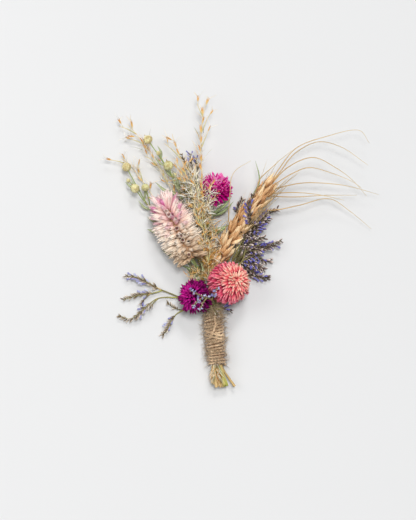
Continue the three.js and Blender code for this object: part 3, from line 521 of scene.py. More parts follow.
HUSK = Shape(
    [(0.03, 0.35, 0.35, 0), (0.13, 0.76, 0.7, 0.1), (0.29, 1, 1, 0.24), (0.46, 0.9, 0.9, 0.26),
     (0.62, 0.62, 0.62, 0.14), (0.76, 0.34, 0.36, -0.02), (0.88, 0.15, 0.18, -0.16)],
    ring(1, 16, 0.16), ((0, 0), (1, -0.2)),
)
HAIR = Shape(
    [(0.03, 1, 1, 0), (0.25, 0.9, 0.9, 1), (0.5, 0.75, 0.75, 4), (0.75, 0.55, 0.55, 9)],
    [(1, -0.6), (0, 1.1), (-1, -0.6)], ((0, 0), (1, 16)),
)


def wheat_straw(s):
    streak = s.streaks(across=4, along=1.2, scale=3)
    # Husks darken to painted shade at their roots, where each lies under the one before, and brighten to a
    # painted highlight at their tips; streaks and tint add their own variation.
    husk_painted_shade_and_highlight = s.ramp(
        s.mark("share") * 0.46 + streak * 1.2 - 0.31 + (s.mark("tint") - 0.4) * 0.44,
        (0.14, 74, 42, 20), (0.32, 164, 110, 64), (0.56, 212, 160, 106), (0.82, 252, 226, 182),
    )
    straw = s.blend(streak, (214, 170, 108), (240, 208, 150))
    fresh = s.blend((streak - 0.34) * 3, (112, 124, 30), (206, 210, 96))
    straw = s.blend((s.mark("share") * 5).levelled(), fresh, straw)
    awn = s.blend(s.mark("share"), (204, 160, 98), (236, 214, 166))
    colour = s.from_kind(FLOWER, s.from_kind(LEAF, straw, awn), husk_painted_shade_and_highlight)
    return {"Base Color": s.pith(colour, PITH), "Roughness": 0.55, "Normal": s.bump(streak, 0.0004, 0.8)}


rng = np.random.default_rng(5)
ear = Growth()
ear_line = line_through([EAR_BASE, (EAR_BASE + EAR_TIP) / 2 + EAR_BOW, EAR_TIP], 0.6)
culm = line_through(bound(1.5, 1) + [[-14.4, -30, 4.6], [-15.2, -21, 4.2], EAR_BASE])
ear.tube(culm, CULM_RADII, 12, ridge=0.06, butt=0.4, tint=0.2)
ear.tube(ear_line, RACHIS_RADII, 8, tint=0.3)
# Spikelets on alternate sides of the ear
node_share = 0.94 * np.linspace(0, 1, EAR_NODES) ** 0.88
feet = at_shares(ear_line, node_share)
across, along, rise = turned(ear_line, node_share)
hand = -hands(EAR_NODES)
size = (1 - 0.18 * np.maximum(0, node_share - 0.5) / 0.5)[:, None]
for out, lift, step, length, width in HUSKS:
    lean = rng.uniform(-0.12, 0.12, (EAR_NODES, 1))
    lift = lift * (1 - 0.8 * node_share[:, None] ** 4)
    out = out * (1 - 0.7 * node_share[:, None] ** 5)
    way = unit(along + across * hand * (out + lean) + rise * (lift + lean))
    root = feet + across * hand * step + rise * lift * 1.2
    face = unit(across * hand * out + rise * (lift + 0.01))
    sizes = np.column_stack([size * width, size * length, size * width * 0.92])
    ear.sow(HUSK, root, way, face, sizes, tint=rng.random(EAR_NODES), place=step)
# Loose glumes at its foot
way = unit(GLUME_WAY + rng.normal(0, 0.14, LOOSE_GLUMES.shape))
ear.sow(HUSK, LOOSE_GLUMES, way, UP, GLUME_SIZE, tint=rng.random(len(way)), place=0.4)
# Fine hairs along its sides, and the awns
share = rng.uniform(0.2, 0.85, EAR_HAIRS)
hand = rng.choice([-1, 1, 1, 1], EAR_HAIRS)
across, along, rise = turned(ear_line, share)
aside = (hand * rng.uniform(-0.28, -0.1, EAR_HAIRS))[:, None]
way = unit(along + across * aside + rise * rng.uniform(0, 0.25, (EAR_HAIRS, 1)))
aside = (hand * rng.uniform(1, 3.4, EAR_HAIRS))[:, None]
root = at_shares(ear_line, share) + way * 7 - across * aside
root = root + rise * rng.uniform(0, 2.4, (EAR_HAIRS, 1))
sizes = drawn(rng, EAR_HAIRS, 0.17, (12, 26), 0.1)
ear.sow(HAIR, root, way, rise + across * 0.4, sizes, tint=rng.random(EAR_HAIRS), kind=LEAF)
for share, *points in AWNS:
    start = at_shares(ear_line, [share])[0]
    ear.tube(line_through([start] + points, 1.2), AWN_RADII, 5, kind=LEAF, tint=rng.random())
piece(ear, "wheat_ear", finish("wheat_straw", wheat_straw))

# Statice. Wiry olive stems whose side branches carry papery brown-violet cups in close rows, like
# combs. Most sprigs hold small lavender flowers in some of their cups, and some carry their cups
# only near the tip.
CUP = Shape(
    [(0.02, 0.35, 0.35, 0), (0.2, 0.75, 0.75, 0.05), (0.5, 1, 1, 0.08), (0.78, 0.95, 0.95, 0.02),
     (0.96, 0.6, 0.6, 0)],
    ring(1, 8, 0.3), ((0, 0), (0.9, 0)),
)
PETAL = Shape(
    [(0.15, 0.5, 1, 0), (0.6, 1, 1, 0.14), (0.88, 0.7, 1, 0.3)],
    [(1, 0), (0, 0.5), (-1, 0), (0, -0.5)], ((0, 0), (1, 0.4)),
)
FULL = {"length": 4.3}
COMB = {"pitch": 1.15, "length": 3.4, "second": 2.8, "flowers": 0.9, "pale": 0.7}
UPPER_COMB = COMB | {"comb": 1}
LOWER_COMB = COMB | {"comb": -1}
SMALL = {"length": 2.8, "pale": 0.5}
BARE = {"radii": (0.5, 0.42, 0.3), "flowers": 0.0, "length": 3.4}
SPARSE = {"pitch": 1.6, "length": 3.2, "pale": 0.45, "petal_size": (0.36, 2.0, 0.32), "bloom": 0.8}
LACY = {
    "flowers": 0.65, "spell": 0.6, "pale": 0.6, "length": 2.0, "petal_size": (0.42, 1.2, 0.3),
    "spread": 0.95,
}
FADED = {"length": 2.6, "flowers": 0.2}
CUP_SLIMNESS = 0.135
PETALS = 5


def stations(line, start, pitch, stop=1.0):
    """Feet of small parts set along a line, the line's three directions there, and their shares."""
    count = max(1, round(lengths(line).sum() * (stop - start) / pitch))
    share = start + (stop - start) * (np.arange(count) + 0.5) / count
    return at_shares(line, share), *turned(line, share), share


def whorl(along, face, count, spread, turn):
    """The directions of petals that stand round each of the given directions."""
    across = unit(np.cross(face, along))
    rise = np.cross(along, across)
    for k in range(count):
        angle = (turn + 2 * math.pi * k / count)[:, None]
        outward = np.cos(angle) * across + np.sin(angle) * rise
        yield unit(along * math.cos(spread) + outward * math.sin(spread)), outward


def statice_sprig(growth, points, seed, start, length, pitch=1.5, comb=0, second=1.7, flowers=0.75,
                  pale=0.1, petal_size=(0.36, 2.7, 0.34), spell=0.2, bloom=None, spread=0.2,
                  radii=(0.4, 0.2)):
    """A side branch with its cups in two rows, most of them on the side that comb names."""
    rng = np.random.default_rng(seed)
    line = line_through(points, 0.7)
    growth.tube(line, radii, 5, tint=rng.random())
    comb = comb or rng.choice([-1, 1])
    bloom = bloom or rng.uniform(0.25, 0.55)
    for hand, thin in ((comb, 1.0), (-0.6 * comb, second)):
        feet, across, along, rise, share = stations(line, start, pitch * thin)
        n = len(feet)
        way = along + across * hand * rng.uniform(0.4, 1.0, (n, 1))
        way = unit(way + rise * rng.uniform(-0.1, 0.6, (n, 1)))
        size = length * rng.uniform(0.75, 1.1, n) * (1 - 0.3 * share**4)
        sizes = np.column_stack([size * CUP_SLIMNESS, size, size * CUP_SLIMNESS])
        tint = rng.random(n)
        growth.sow(CUP, feet, way, rise, sizes, tint=tint, place=pale)
        in_flower = rng.random(n) < flowers * np.exp(-(((share - bloom) / spell) ** 2))
        if in_flower.any():
            mouth = (feet + way * size[:, None] * 0.6 + rise * 0.3)[in_flower]
            turn = rng.uniform(0, 6, in_flower.sum())
            marks = {"tint": tint[in_flower], "place": pale, "kind": FLORET}
            for petal, outward in whorl(way[in_flower], rise[in_flower], PETALS, spread, turn):
                growth.sow(PETAL, mouth, petal, way[in_flower], petal_size, **marks)


def statice_spray(s):
    streak = s.streaks(across=2, along=4)
    tint, place = s.mark("tint"), s.mark("place")
    stalk = stalk_colour(s, (66, 58, 34), (158, 150, 92), (236, 206, 140), 0.25)
    lit = s.mark("share") * 0.62 + streak * 0.45 + s.mark("side") * 0.14 + (tint - 0.5) * 0.34
    dark = s.ramp(lit, (0.15, 124, 112, 76), (0.36, 32, 22, 28), (0.64, 112, 86, 82), (0.92, 244, 226, 216))
    light = s.ramp(lit, (0.15, 84, 66, 46), (0.36, 104, 82, 62), (0.6, 196, 180, 152), (0.9, 246, 240, 226))
    cup = s.blend(place, dark, light)
    flower = s.blend(tint, (78, 70, 160), (118, 112, 200))
    flower = s.blend(place * (tint + 0.4), flower, (206, 208, 234))
    colour = s.from_kind(FLORET, s.from_kind(FLOWER, stalk, cup), flower)
    return {"Base Color": colour, "Roughness": 0.72, "Normal": s.bump(streak, 0.0001)}


STATICE = finish("statice", statice_spray)


def statice(name, start, way, sprigs, radii=(0.6, 0.5, 0.42)):
    """One spray: its main stem, and sprigs given as where the cups start, a style and a way."""
    growth = Growth()
    growth.tube(line_through(bound(*start) + way), radii, 8, ridge=0.1, butt=0.08)
    for i, (cups_from, style, *points) in enumerate(sprigs):
        statice_sprig(growth, points, 17 * len(name) + i, cups_from, **style)
    piece(growth, name, STATICE)


statice("statice_left", (-2, 0), [
    [-20.2, -35.6, 3.6], [-26, -32.2, 1.3], [-34.1, -30.3, 1.4], [-38.6, -28.5, 2.2], [-44.8, -26, 3],
], [
    (0.05, UPPER_COMB, [-44.6, -26.1, 3], [-51, -22.6, 3.4], [-57.2, -19.5, 4], [-64.4, -18.4, 3]),
    (0.25, LOWER_COMB, [-43.6, -26.4, 2.8], [-51, -28.3, 2.6], [-56, -28.9, 3], [-65.6, -31.6, 2.2]),
    (0.42, UPPER_COMB, [-34.1, -30.3, 1.4], [-45.7, -30.6, 2.6], [-50.6, -33.4, 3.4], [-57.2, -39.3, 4],
     [-61.8, -42.2, 3.4], [-68, -40.2, 2.4]),
    (0.62, LOWER_COMB, [-22, -34.9, 3], [-27, -36.6, 2.4], [-32.5, -37.1, 2.6], [-36.7, -36.4, 3.4],
     [-41.4, -33.2, 4.4]),
    (0.3, LOWER_COMB, [-31.6, -37.1, 2.6], [-35.5, -38.9, 2.8], [-38.4, -42.4, 3], [-41.8, -49, 2.6],
     [-44.2, -51.2, 1.6]),
    (0.5, SMALL, [-50.8, -28.2, 2.6], [-53.6, -31, 3.6], [-56, -34, 4]),
    (0.5, SMALL, [-46.8, -31.2, 2.8], [-49, -33.5, 4.2], [-50.8, -35.8, 4.4]),
])
statice("statice_right_upper", (2, 0, 3.4), [
    [-11, -30, 3.4], [-6.8, -19, 2.8], [-2.4, -8, 2.8], [0.8, 1.4, 3],
], [
    (0.15, FULL, [0.6, 0.8, 3], [5.9, 8.2, 4.2], [10.4, 12.6, 5.2], [14.6, 16.4, 5.6], [19.6, 18.2, 5]),
    (0.15, FULL, [4.6, 6.6, 4], [9.6, 9.4, 7.4], [15.2, 13.6, 9]),
    (0.2, FULL, [2.4, 3.2, 3.3], [6.6, 5.6, 6.6], [11.6, 8.2, 8.6]),
    (0.3, FULL, [2.6, 3.8, 3.4], [6.4, 8.4, 9.5], [4.6, 13.4, 16], [4.4, 19, 18], [6.2, 25.6, 18.6]),
    (0.62, FULL, [0.9, 1.2, 3], [-0.2, 9.6, 1], [-2, 18, 1.4], [0.4, 23.6, 2.6]),
    (0.2, FULL, [0, -1.4, 3], [3.4, 2, 6], [8, 4.4, 9.4]),
    (0.2, FULL, [-0.8, -3.6, 3], [3, -1.6, 7], [6.6, 1.4, 10]),
    (0.3, FULL, [1.6, 2.4, 3], [6.4, 7.4, 6.4], [10.6, 11.6, 9.4], [13.6, 15.8, 10]),
    (0.3, FULL, [2.6, 4.4, 3.6], [5.6, 9.4, 7.4], [7.8, 14, 10.4], [8.4, 18.6, 12]),
    (0.4, FULL, [-0.6, -2.4, 3], [1.6, 1.6, 7.4], [3.4, 6.4, 10]),
    (0.8, BARE, [-6.4, -16, 3.2], [-4.8, -10.4, 6.4], [-1.8, -2.6, 10.4], [1.4, 3.4, 11]),
    (0.8, BARE, [-7.2, -18, 3], [-5.4, -12.4, 5.6], [-2.6, -6.4, 9.6], [0.6, -1.4, 10.6]),
    (0.75, BARE, [-6, -15, 3.2], [-2.4, -10, 6.6], [2, -5.4, 9.6], [5, -1.6, 10]),
    (0.8, BARE, [-7, -18.4, 2.8], [-3, -13, 5.6], [1.4, -9.6, 8.4], [4.4, -7.4, 9]),
    (0.85, BARE, [-7.4, -20, 3.4], [-4.2, -14, 7.4], [-1.6, -8, 10.4], [0.8, 0.4, 11.4],
     [1.6, 5.4, 11.6]),
    (0.85, BARE, [-6, -19, 3.4], [-1.8, -13, 7.8], [0.6, -9, 9.6], [2, -3, 10.8]),
    (0.85, BARE, [-8, -20.6, 3.4], [-6, -13.6, 7], [-4.6, -6.8, 9.8], [-2.2, 0, 11]),
    (0.85, BARE, [-8.4, -20.4, 3.2], [-7.4, -12, 6], [-6, -6, 7.6], [-3.6, 0.4, 9]),
    (0.85, BARE, [-8.8, -20.8, 3.2], [-8.6, -12, 5], [-8, -7.6, 6.4], [-6, -2.6, 7.6]),
    (0.3, FULL | {"flowers": 0.3}, [-3.4, -12, 3], [-0.4, -8.6, 6], [2, -6.4, 8]),
])
statice("statice_right_middle", (1.5, -1), [
    [-12.4, -30, 1.3], [-7.4, -20, 1], [-1.4, -9, 1.3], [2.6, -3, 2.6],
], [
    (0.05, FULL, [2.4, -3.4, 2.5], [7.4, -1.6, 4], [14.6, -1.4, 5], [21.6, 1, 4]),
    (0.15, FULL, [1, -5.4, 1.8], [7, -6.6, 2.8], [11.8, -9.8, 3.2], [16, -9.6, 2.6]),
    (0.15, FULL, [3.6, -2.4, 3], [7.6, 1.4, 6.6], [12.4, 2.6, 8]),
    (0.2, FULL, [1.8, -4.2, 2.2], [4.6, -4.4, 7], [9.6, -4.6, 9]),
    (0.2, FULL, [-0.6, -7.8, 1.4], [4.4, -9, 5], [8.6, -12.2, 6.4]),
    (0.2, FULL, [-1.6, -9.4, 1.6], [2.4, -8, 6.4], [5.8, -7.4, 9]),
    (0.2, FULL, [-1, -8.6, 1.4], [3.4, -11, 4], [6.6, -13.4, 5.4], [10.4, -13.6, 5]),
    (0.2, FULL, [2.4, -3.4, 2.6], [7.4, -3.4, 7], [12.4, -3, 8.6], [16, -2, 8]),
    (0.1, FULL | {"flowers": 0.4}, [-3.4, -12.6, 1.6], [0.6, -12.6, 4], [4, -14.8, 5],
     [6.4, -16.6, 4.6]),
    (0.1, FULL | {"flowers": 0.3}, [-2.4, -10.6, 1.6], [1, -10, 4.4], [4, -10.6, 6.4], [6.6, -12, 7]),
])
statice("statice_right_lower", (1, -2), [
    [-9.4, -31, 0.9], [-3, -23, 0.7], [0.4, -19.4, 0.9],
], [
    (0.15, FULL, [0.2, -19.6, 0.9], [4.6, -18.2, 1.4], [9.6, -19.4, 2.2], [14.8, -19.6, 1.6]),
    (0.4, FULL, [-1.6, -21.4, 0.8], [4, -13.6, 1.2], [8.4, -13.8, 2], [12.4, -14.4, 1.6]),
])
statice("statice_top", (0, 0), [
    [-17.4, -27, 5.2], [-20.6, -12, 5.4], [-20.4, 4, 3.6], [-21.6, 18, 2.4], [-26, 34, 4],
], [
    (0.1, SPARSE | {"flowers": 0.0}, [-25.8, 33.4, 4], [-29.6, 41, 5.6], [-33.4, 48.8, 6.4]),
    (0.1, SPARSE | {"flowers": 1.0}, [-27, 36.4, 4.4], [-27.6, 42.6, 6.4], [-28.4, 49, 7.4]),
    (0.15, SPARSE | {"flowers": 0.5}, [-25.2, 31.6, 3.6], [-24.4, 39, 4.6], [-25.4, 46.8, 5.2]),
])
statice("statice_front", (0, 2), [
    [-16.2, -36, 9], [-15.7, -33.2, 13.4], [-16.6, -30.8, 19],
], [
    (0.2, LACY, [-16.4, -31.4, 17.6], [-18.6, -30.4, 21.8], [-23, -29, 24.4], [-28.4, -26, 24.6]),
    (0.3, LACY, [-16.5, -31, 18.4], [-15.6, -28, 23.6], [-13.6, -24.4, 27.4]),
    (0.4, {"flowers": 0.5, "length": 2.8}, [-16.1, -35.9, 9.2], [-13.4, -36.6, 10.6], [-9.6, -36.4, 10],
     [-6.2, -38, 7.4]),
    (0.2, LACY, [-20.4, -29.8, 22.8], [-24, -31.6, 24.4], [-27, -34.4, 23.8]),
    (0.2, LACY, [-19.4, -30.2, 22.2], [-21.6, -33, 23.4], [-23.4, -36.4, 22]),
    (0.3, FADED | {"pale": 0.5}, [-16.1, -35.9, 9.2], [-15.4, -37, 11], [-13.4, -40.4, 11.2]),
    (0.3, FADED | {"pale": 0.4}, [-16.2, -35.6, 9.2], [-18, -36.8, 10.8], [-20.2, -38.6, 10.4]),
], radii=(0.55, 0.45, 0.35))

# Grasses. Hair-thin stalks with slender spikelets on short threads; each spikelet is a few pointed
# husks, orange at the tip, with three to six pale bristles. Fine dry hairs, leaf bits and broken
# husks fill the tangle round the stalks.
GLUME = Shape(
    [(0.04, 0.4, 0.5, 0), (0.2, 0.9, 0.9, 0.1), (0.45, 1, 1, 0.16), (0.72, 0.6, 0.6, 0.04),
     (0.9, 0.22, 0.25, -0.1)],
    [(1, 0), (0.5, 0.75), (-0.5, 0.75), (-1, 0), (-0.4, -0.45), (0.4, -0.45)], ((0, 0), (1, -0.2)),
)
THREAD = Shape(
    [(0.02, 1, 1, 0), (0.5, 0.85, 0.85, 0), (0.98, 0.7, 0.7, 0)], [(1, 0), (0, 1), (-1, 0), (0, -1)],
)
STALK_RADII = (0.34, 0.24, 0.13)
THREAD_WIDTH = 0.13
BRISTLE_WIDTH = 0.12
WIDE_SET = {"pitch": 5.2}
MID_SET = {"pitch": 4.6}
CLOSE_SET = {"pitch": 4.2}
OPENED = {"pitch": 2.8, "length": 3.2, "bristles": 6, "lean": 2.2}
UPRIGHT = {"pitch": 5.4, "length": 4.8, "lean": 0.35}


def spikelets(growth, feet, way, face, length, rng, bristles):
    """Spikelets of three husks, and the bristles that stand out from the middle of each."""
    n = len(feet)
    tint = rng.random(n)
    turn = rng.uniform(0, 3, n)
    for husk, outward in whorl(way, face, 2, 0.13, turn):
        sizes = np.column_stack([length * 0.08, length * rng.uniform(0.85, 1, n), length * 0.065])
        growth.sow(GLUME, feet + outward * 0.08, husk, outward, sizes, tint=tint)
    sizes = length[:, None] * (0.055, 0.8, 0.05)
    growth.sow(GLUME, feet + way * length[:, None] * 0.16, way, face, sizes, tint=tint)
    for bristle, outward in whorl(way, face, bristles, 0.5, turn + 0.9):
        aim = unit(bristle + rng.normal(0, 0.26, (n, 3)))
        sizes = drawn(rng, n, BRISTLE_WIDTH, (3.4, 6.6), BRISTLE_WIDTH)
        growth.sow(HAIR, feet + way * length[:, None] * 0.5, aim, outward, sizes, tint=tint,
                   place=rng.uniform(0.05, 0.5, n), kind=BRISTLE)


def grass_stalk(growth, points, seed, start, pitch, length=4.2, bristles=3, lean=1.1):
    """A stalk with its spikelets on alternate sides, each at the end of a thread."""
    rng = np.random.default_rng(seed)
    line = line_through(points, 1.0)
    growth.tube(line, STALK_RADII, tint=rng.random())
    feet, across, along, rise, _ = stations(line, start, pitch, 0.99)
    n = len(feet)
    way = along + across * hands(n) * lean * rng.uniform(0, 1, (n, 1)) ** 1.4
    way = unit(way + rise * rng.uniform(-0.2, 0.35, (n, 1)))
    thread = rng.uniform(0.4, 0.8 + 1.6 * min(lean, 1.1), n)
    sizes = np.column_stack([np.full(n, THREAD_WIDTH), thread, np.full(n, THREAD_WIDTH)])
    growth.sow(THREAD, feet, way, rise, sizes, kind=STEM)
    size = length * rng.uniform(0.82, 1.12, n)
    spikelets(growth, feet + way * thread[:, None] * 0.95, way, rise, size, rng, bristles)


def grass_tuft(growth, points, seed, count, reach, spread, wide, apart, hue):
    """Hairs and bits of leaf round a line: their lengths, how far their directions spread, their
    widths, how far they stand apart from the line, and their place on the bristles' ramp."""
    rng = np.random.default_rng(seed)
    line = line_through(points, 1.0)
    share = rng.random(count)
    across, along, rise = turned(line, share)
    side = rng.normal(0, 1, (count, 1))
    roots = at_shares(line, share) + across * side * apart + rise * rng.uniform(-1.5, 1.0, (count, 1))
    aside = rng.normal(0, spread, (count, 1)) + side * 0.1
    way = unit(along + across * aside + rise * rng.normal(0, 0.25, (count, 1)))
    sizes = drawn(rng, count, wide, reach, (0.06, 0.16))
    growth.sow(HAIR, roots, way, across * np.sign(side), sizes, tint=rng.random(count),
               place=rng.uniform(*hue, count), kind=BRISTLE)


def grass_straw(s):
    streak = s.streaks(across=2, along=3)
    stalk = s.blend(s.mark("share"), (176, 182, 124), (232, 208, 160))
    stalk = s.blend((s.mark("share") * 5).levelled(), (232, 202, 140), stalk)
    husk = s.ramp(
        s.mark("share") * 0.75 + s.mark("tint") * 0.25 + streak * 0.15,
        (0.1, 222, 204, 152), (0.4, 228, 186, 112), (0.72, 208, 144, 68), (1.0, 158, 90, 40),
    )
    bristle = s.ramp(
        s.mark("place"), (0.1, 255, 252, 240), (0.36, 250, 234, 198), (0.56, 238, 186, 88),
        (0.72, 206, 138, 56), (0.84, 140, 146, 86), (1.0, 64, 48, 30),
    )
    colour = s.from_kind(FLOWER, s.from_kind(BRISTLE, stalk, bristle), husk)
    colour = s.pith(colour, (240, 228, 190))
    return {"Base Color": colour, "Roughness": 0.6, "Normal": s.bump(streak, 0.00008)}


GRASS_STRAW = finish("grass_straw", grass_straw)


def grass(name, stalks, tufts):
    """One panicle: stalks given as seed, where the spikelets start, style and way, and its tufts."""
    growth = Growth()
    for seed, start, style, *points in stalks:
        grass_stalk(growth, points, seed, start, **style)
    for *options, points in tufts:
        grass_tuft(growth, points, *options)
    piece(growth, name, GRASS_STRAW)


grass("grass_tall", [
    (71, 0.5, UPRIGHT, *bound(0.5, 1), [-17.2, -27, 6.6], [-18.2, -14, 8.2], [-19, 1.4, 11.4],
     [-20.8, 16, 17.2], [-21.8, 30, 19.8], [-22.4, 44, 18.4], [-22.6, 56.4, 15.4], [-21.6, 68.5, 12.6],
     [-19, 78.4, 11]),
    (91, 0.25, CLOSE_SET, [-18.9, -2, 10.6], [-20.6, 7, 13], [-22.2, 19, 14.4], [-25.4, 30, 14]),
    (92, 0.25, CLOSE_SET, [-19.2, 6, 13], [-17.6, 14, 15.6], [-18.2, 22, 19]),
    (72, 0.8, WIDE_SET, [-22.2, 52, 16.6], [-20.2, 57, 16.6], [-18.6, 61, 15.8]),
    (73, 0.8, WIDE_SET, [-22.4, 60, 14.6], [-20, 65.5, 14.6], [-18.6, 69, 14]),
    (74, 0.8, WIDE_SET, [-21.5, 69, 12.6], [-23.4, 73, 12.6], [-24.6, 76, 12]),
    (94, 0.2, CLOSE_SET, [-18.4, -12, 8.6], [-15.8, -4, 10.6], [-14.4, 4, 12]),
    (101, 0.1, OPENED, [-19, -6, 10], [-17, 2, 14], [-15.6, 10, 17]),
    (102, 0.1, OPENED, [-20, 6, 15], [-21.6, 14, 19], [-20.4, 22, 20.6]),
    (95, 0.3, MID_SET, [-20.6, 14, 16.6], [-18.4, 24, 18.6], [-16.4, 33, 19.4]),
    (96, 0.3, MID_SET, [-21.2, 22, 18.4], [-24.4, 32, 17], [-26.4, 42, 14]),
], [
    (201, 130, (3, 7), 1.5, (0.35, 0.9), 2.0, (0, 0.84), [[-18, -14, 8], [-19, 1.4, 10],
     [-20.8, 16, 14], [-22, 34, 15]]),
    (207, 44, (3, 6), 2.0, (0.5, 0.8), 3.0, (0, 0.3), [[-19, -8, 13], [-20.6, 6, 16], [-20, 20, 20.5],
     [-20, 30, 20.5]]),
    (210, 40, (1.4, 2.6), 2.0, (0.6, 1.1), 2.6, (0.5, 0.62), [[-18, -14, 12], [-19.6, 0, 16],
     [-22, 14, 18.5], [-23, 30, 19.5]]),
    (209, 110, (3, 7), 0.1, (0.25, 0.6), 1.1, (0.15, 0.9), [[-14.9, -66.6, 8.7], [-14.7, -70, 8.5],
     [-14.6, -73.8, 8.2]]),
    (214, 90, (4, 8), 0.8, (0.6, 1.2), 2.4, (0.3, 0.84), [[-15, -16, 5], [-15.5, -4, 6], [-16.4, 4, 7],
     [-18, 12, 8]]),
    (215, 130, (3, 7), 1.0, (0.5, 1.0), 2.8, (0.0, 0.26), [[-20, 14, 16], [-24, 24, 18],
     [-27, 38, 17]]),
    (211, 20, (3, 6), 1.3, (0.5, 0.9), 1.0, (0, 0.2), [[-19.4, 14, 20.6], [-18, 21, 21.4],
     [-17, 27, 21.4]]),
    (202, 14, (5, 10), 0.5, (0.12, 0.3), 1.2, (0, 1), [[-22, 36, 18], [-22.4, 50, 17],
     [-22.2, 62, 14]]),
])
grass("grass_middle", [
    (75, 0.5, WIDE_SET, *bound(-0.5, 1), [-17.9, -26, 8.4], [-18.4, -15, 11.6], [-19.6, -2, 16],
     [-22.4, 11, 19], [-27.2, 24, 17], [-32, 42, 11.6], [-36.4, 53, 10], [-38.4, 59.6, 9]),
    (93, 0.3, CLOSE_SET, [-23.4, 14, 18.8], [-26.8, 22, 14.6], [-31, 30, 12.4], [-33.6, 36, 15]),
    (76, 0.6, WIDE_SET, [-33.6, 46, 11], [-38, 50.6, 11], [-42.6, 54.4, 10]),
    (77, 0.5, WIDE_SET, [-30, 36, 12.4], [-33.6, 40.6, 13.4], [-36.8, 44.6, 13]),
    (78, 0.3, WIDE_SET, [-24.4, 16.4, 18.4], [-23.4, 22, 20.4], [-24.4, 28, 20.4], [-26.4, 34, 18.6]),
    (103, 0.1, OPENED, [-22, 8, 19], [-25.6, 16, 20.6], [-26, 24, 20]),
    (104, 0.1, OPENED, [-19, -12, 13], [-17.6, -5, 16.4], [-18.6, 2, 18.6]),
    (97, 0.2, CLOSE_SET, [-18.8, -10, 13], [-21.6, -3, 16], [-23.6, 4, 18]),
    (98, 0.3, MID_SET, [-25.6, 20, 17.6], [-30.4, 32, 13], [-36.4, 42, 10.6]),
    (99, 0.3, MID_SET, [-27.6, 26, 16.4], [-28.4, 36, 14.6], [-30.4, 45, 12]),
], [
    (203, 130, (3, 7), 1.5, (0.35, 0.9), 2.2, (0, 0.84), [[-18.4, -14, 10], [-21, 0, 12], [-25, 14, 13],
     [-30, 28, 12], [-34, 40, 10]]),
    (208, 60, (4, 8), 1.6, (0.5, 0.9), 2.6, (0.74, 1), [[-19, -2, 13], [-22, 10, 17], [-25, 22, 17],
     [-28, 34, 14]]),
    (212, 90, (1.5, 3.6), 2.0, (0.12, 0.34), 1.6, (0.3, 0.7), [[-22.6, -14.6, 11], [-26, -17.6, 12.4],
     [-29.4, -19.6, 12]]),
    (213, 24, (3, 6), 0.8, (0.3, 0.6), 2.6, (0.94, 1), [[-22, -18, 11.6], [-24, -13, 13],
     [-26, -9, 14.4]]),
    (204, 300, (3, 8), 0.9, (0.2, 0.5), 1.8, (0.3, 0.84), [[-18, -21, 8], [-18.6, -10, 10],
     [-19.6, -2, 12]]),
])
grass("grass_left_upper", [
    (81, 0.62, WIDE_SET, *bound(-0.5, -1), [-20.2, -27, 1.3], [-25.6, -12, 0.9], [-29.6, 6, 1.6],
     [-34, 22, 4.4], [-43.4, 36.6, 4.4], [-50.6, 49.8, 4.4], [-57.2, 58.6, 5.4], [-63, 65, 7]),
    (82, 0.55, WIDE_SET, [-58.2, 59.8, 5.6], [-63, 62.4, 7.6], [-67.6, 64, 8]),
    (83, 0.55, WIDE_SET, [-54, 54.4, 4.9], [-58.8, 56.2, 7], [-62.4, 57.4, 8]),
    (84, 0.55, WIDE_SET, [-46.8, 42.6, 4.5], [-50.4, 46, 7], [-53.4, 47.4, 7.6]),
    (88, 0.5, WIDE_SET, [-41, 33.4, 4.4], [-43.6, 39, 6], [-47, 43.4, 6.6]),
], [
    (205, 22, (6, 13), 0.4, (0.12, 0.3), 1.2, (0, 1), [[-32, 16, 4], [-38, 29, 5], [-46, 42, 5],
     [-54, 54, 5]]),
])
grass("grass_left_lower", [
    (85, 0.66, WIDE_SET, *bound(-1, -2), [-20.6, -27, 0.6], [-28.6, -11, 0.6], [-37.4, 7, 0.8],
     [-45.6, 20, 2.6], [-53.4, 32, 3.4], [-61, 41.6, 4.2], [-66.6, 46.4, 5.4]),
    (86, 0.6, WIDE_SET, [-62.2, 42.8, 4.4], [-67.4, 44.6, 6], [-73, 45.6, 6.6]),
    (87, 0.6, WIDE_SET, [-55, 34, 3.6], [-56.2, 39, 5], [-58.2, 43, 6.4]),
], [
    (206, 12, (6, 12), 0.4, (0.12, 0.3), 1.2, (0, 1), [[-44, 18, 3], [-52, 30, 4], [-62, 42, 5]]),
])

# Seed pods. Round ribbed capsules with a short point, each closing a thin branch on five small
# sepals, and narrow grey-green leaves; the whole is dried pale green to straw.
POD_RINGS = [(0.0, 0.3), (0.06, 0.55), (0.18, 0.85), (0.34, 0.99), (0.5, 1.0), (0.66, 0.92), (0.8, 0.72),
             (0.9, 0.42), (0.95, 0.16), (1.12, 0.06)]
POD_CORNERS = 24
POD_LENGTH = 2.15  # in radii
POD_SINK = 0.02
POD_WAVES = [(0.07, 8, 0), (0.08, 2, 9), (0.06, 3, 31)]  # depth, ribs or bulges round it, and their turn
BRANCH_RADII = (0.42, 0.34, 0.3)
LEAF_SLIMNESS = 0.72
SEPALS = 5
SEPAL_SIZE = np.array([0.4, 1.5, -0.35])  # in radii of the pod
SEPAL = Shape(
    [(0.1, 0.6, 1, 0.1), (0.4, 1, 1, 0.6), (0.7, 0.7, 1, 1.0)],
    [(1, 0), (0, 0.16), (-1, 0), (0, -0.1)], ((0, 0), (1, 1.1)),
)


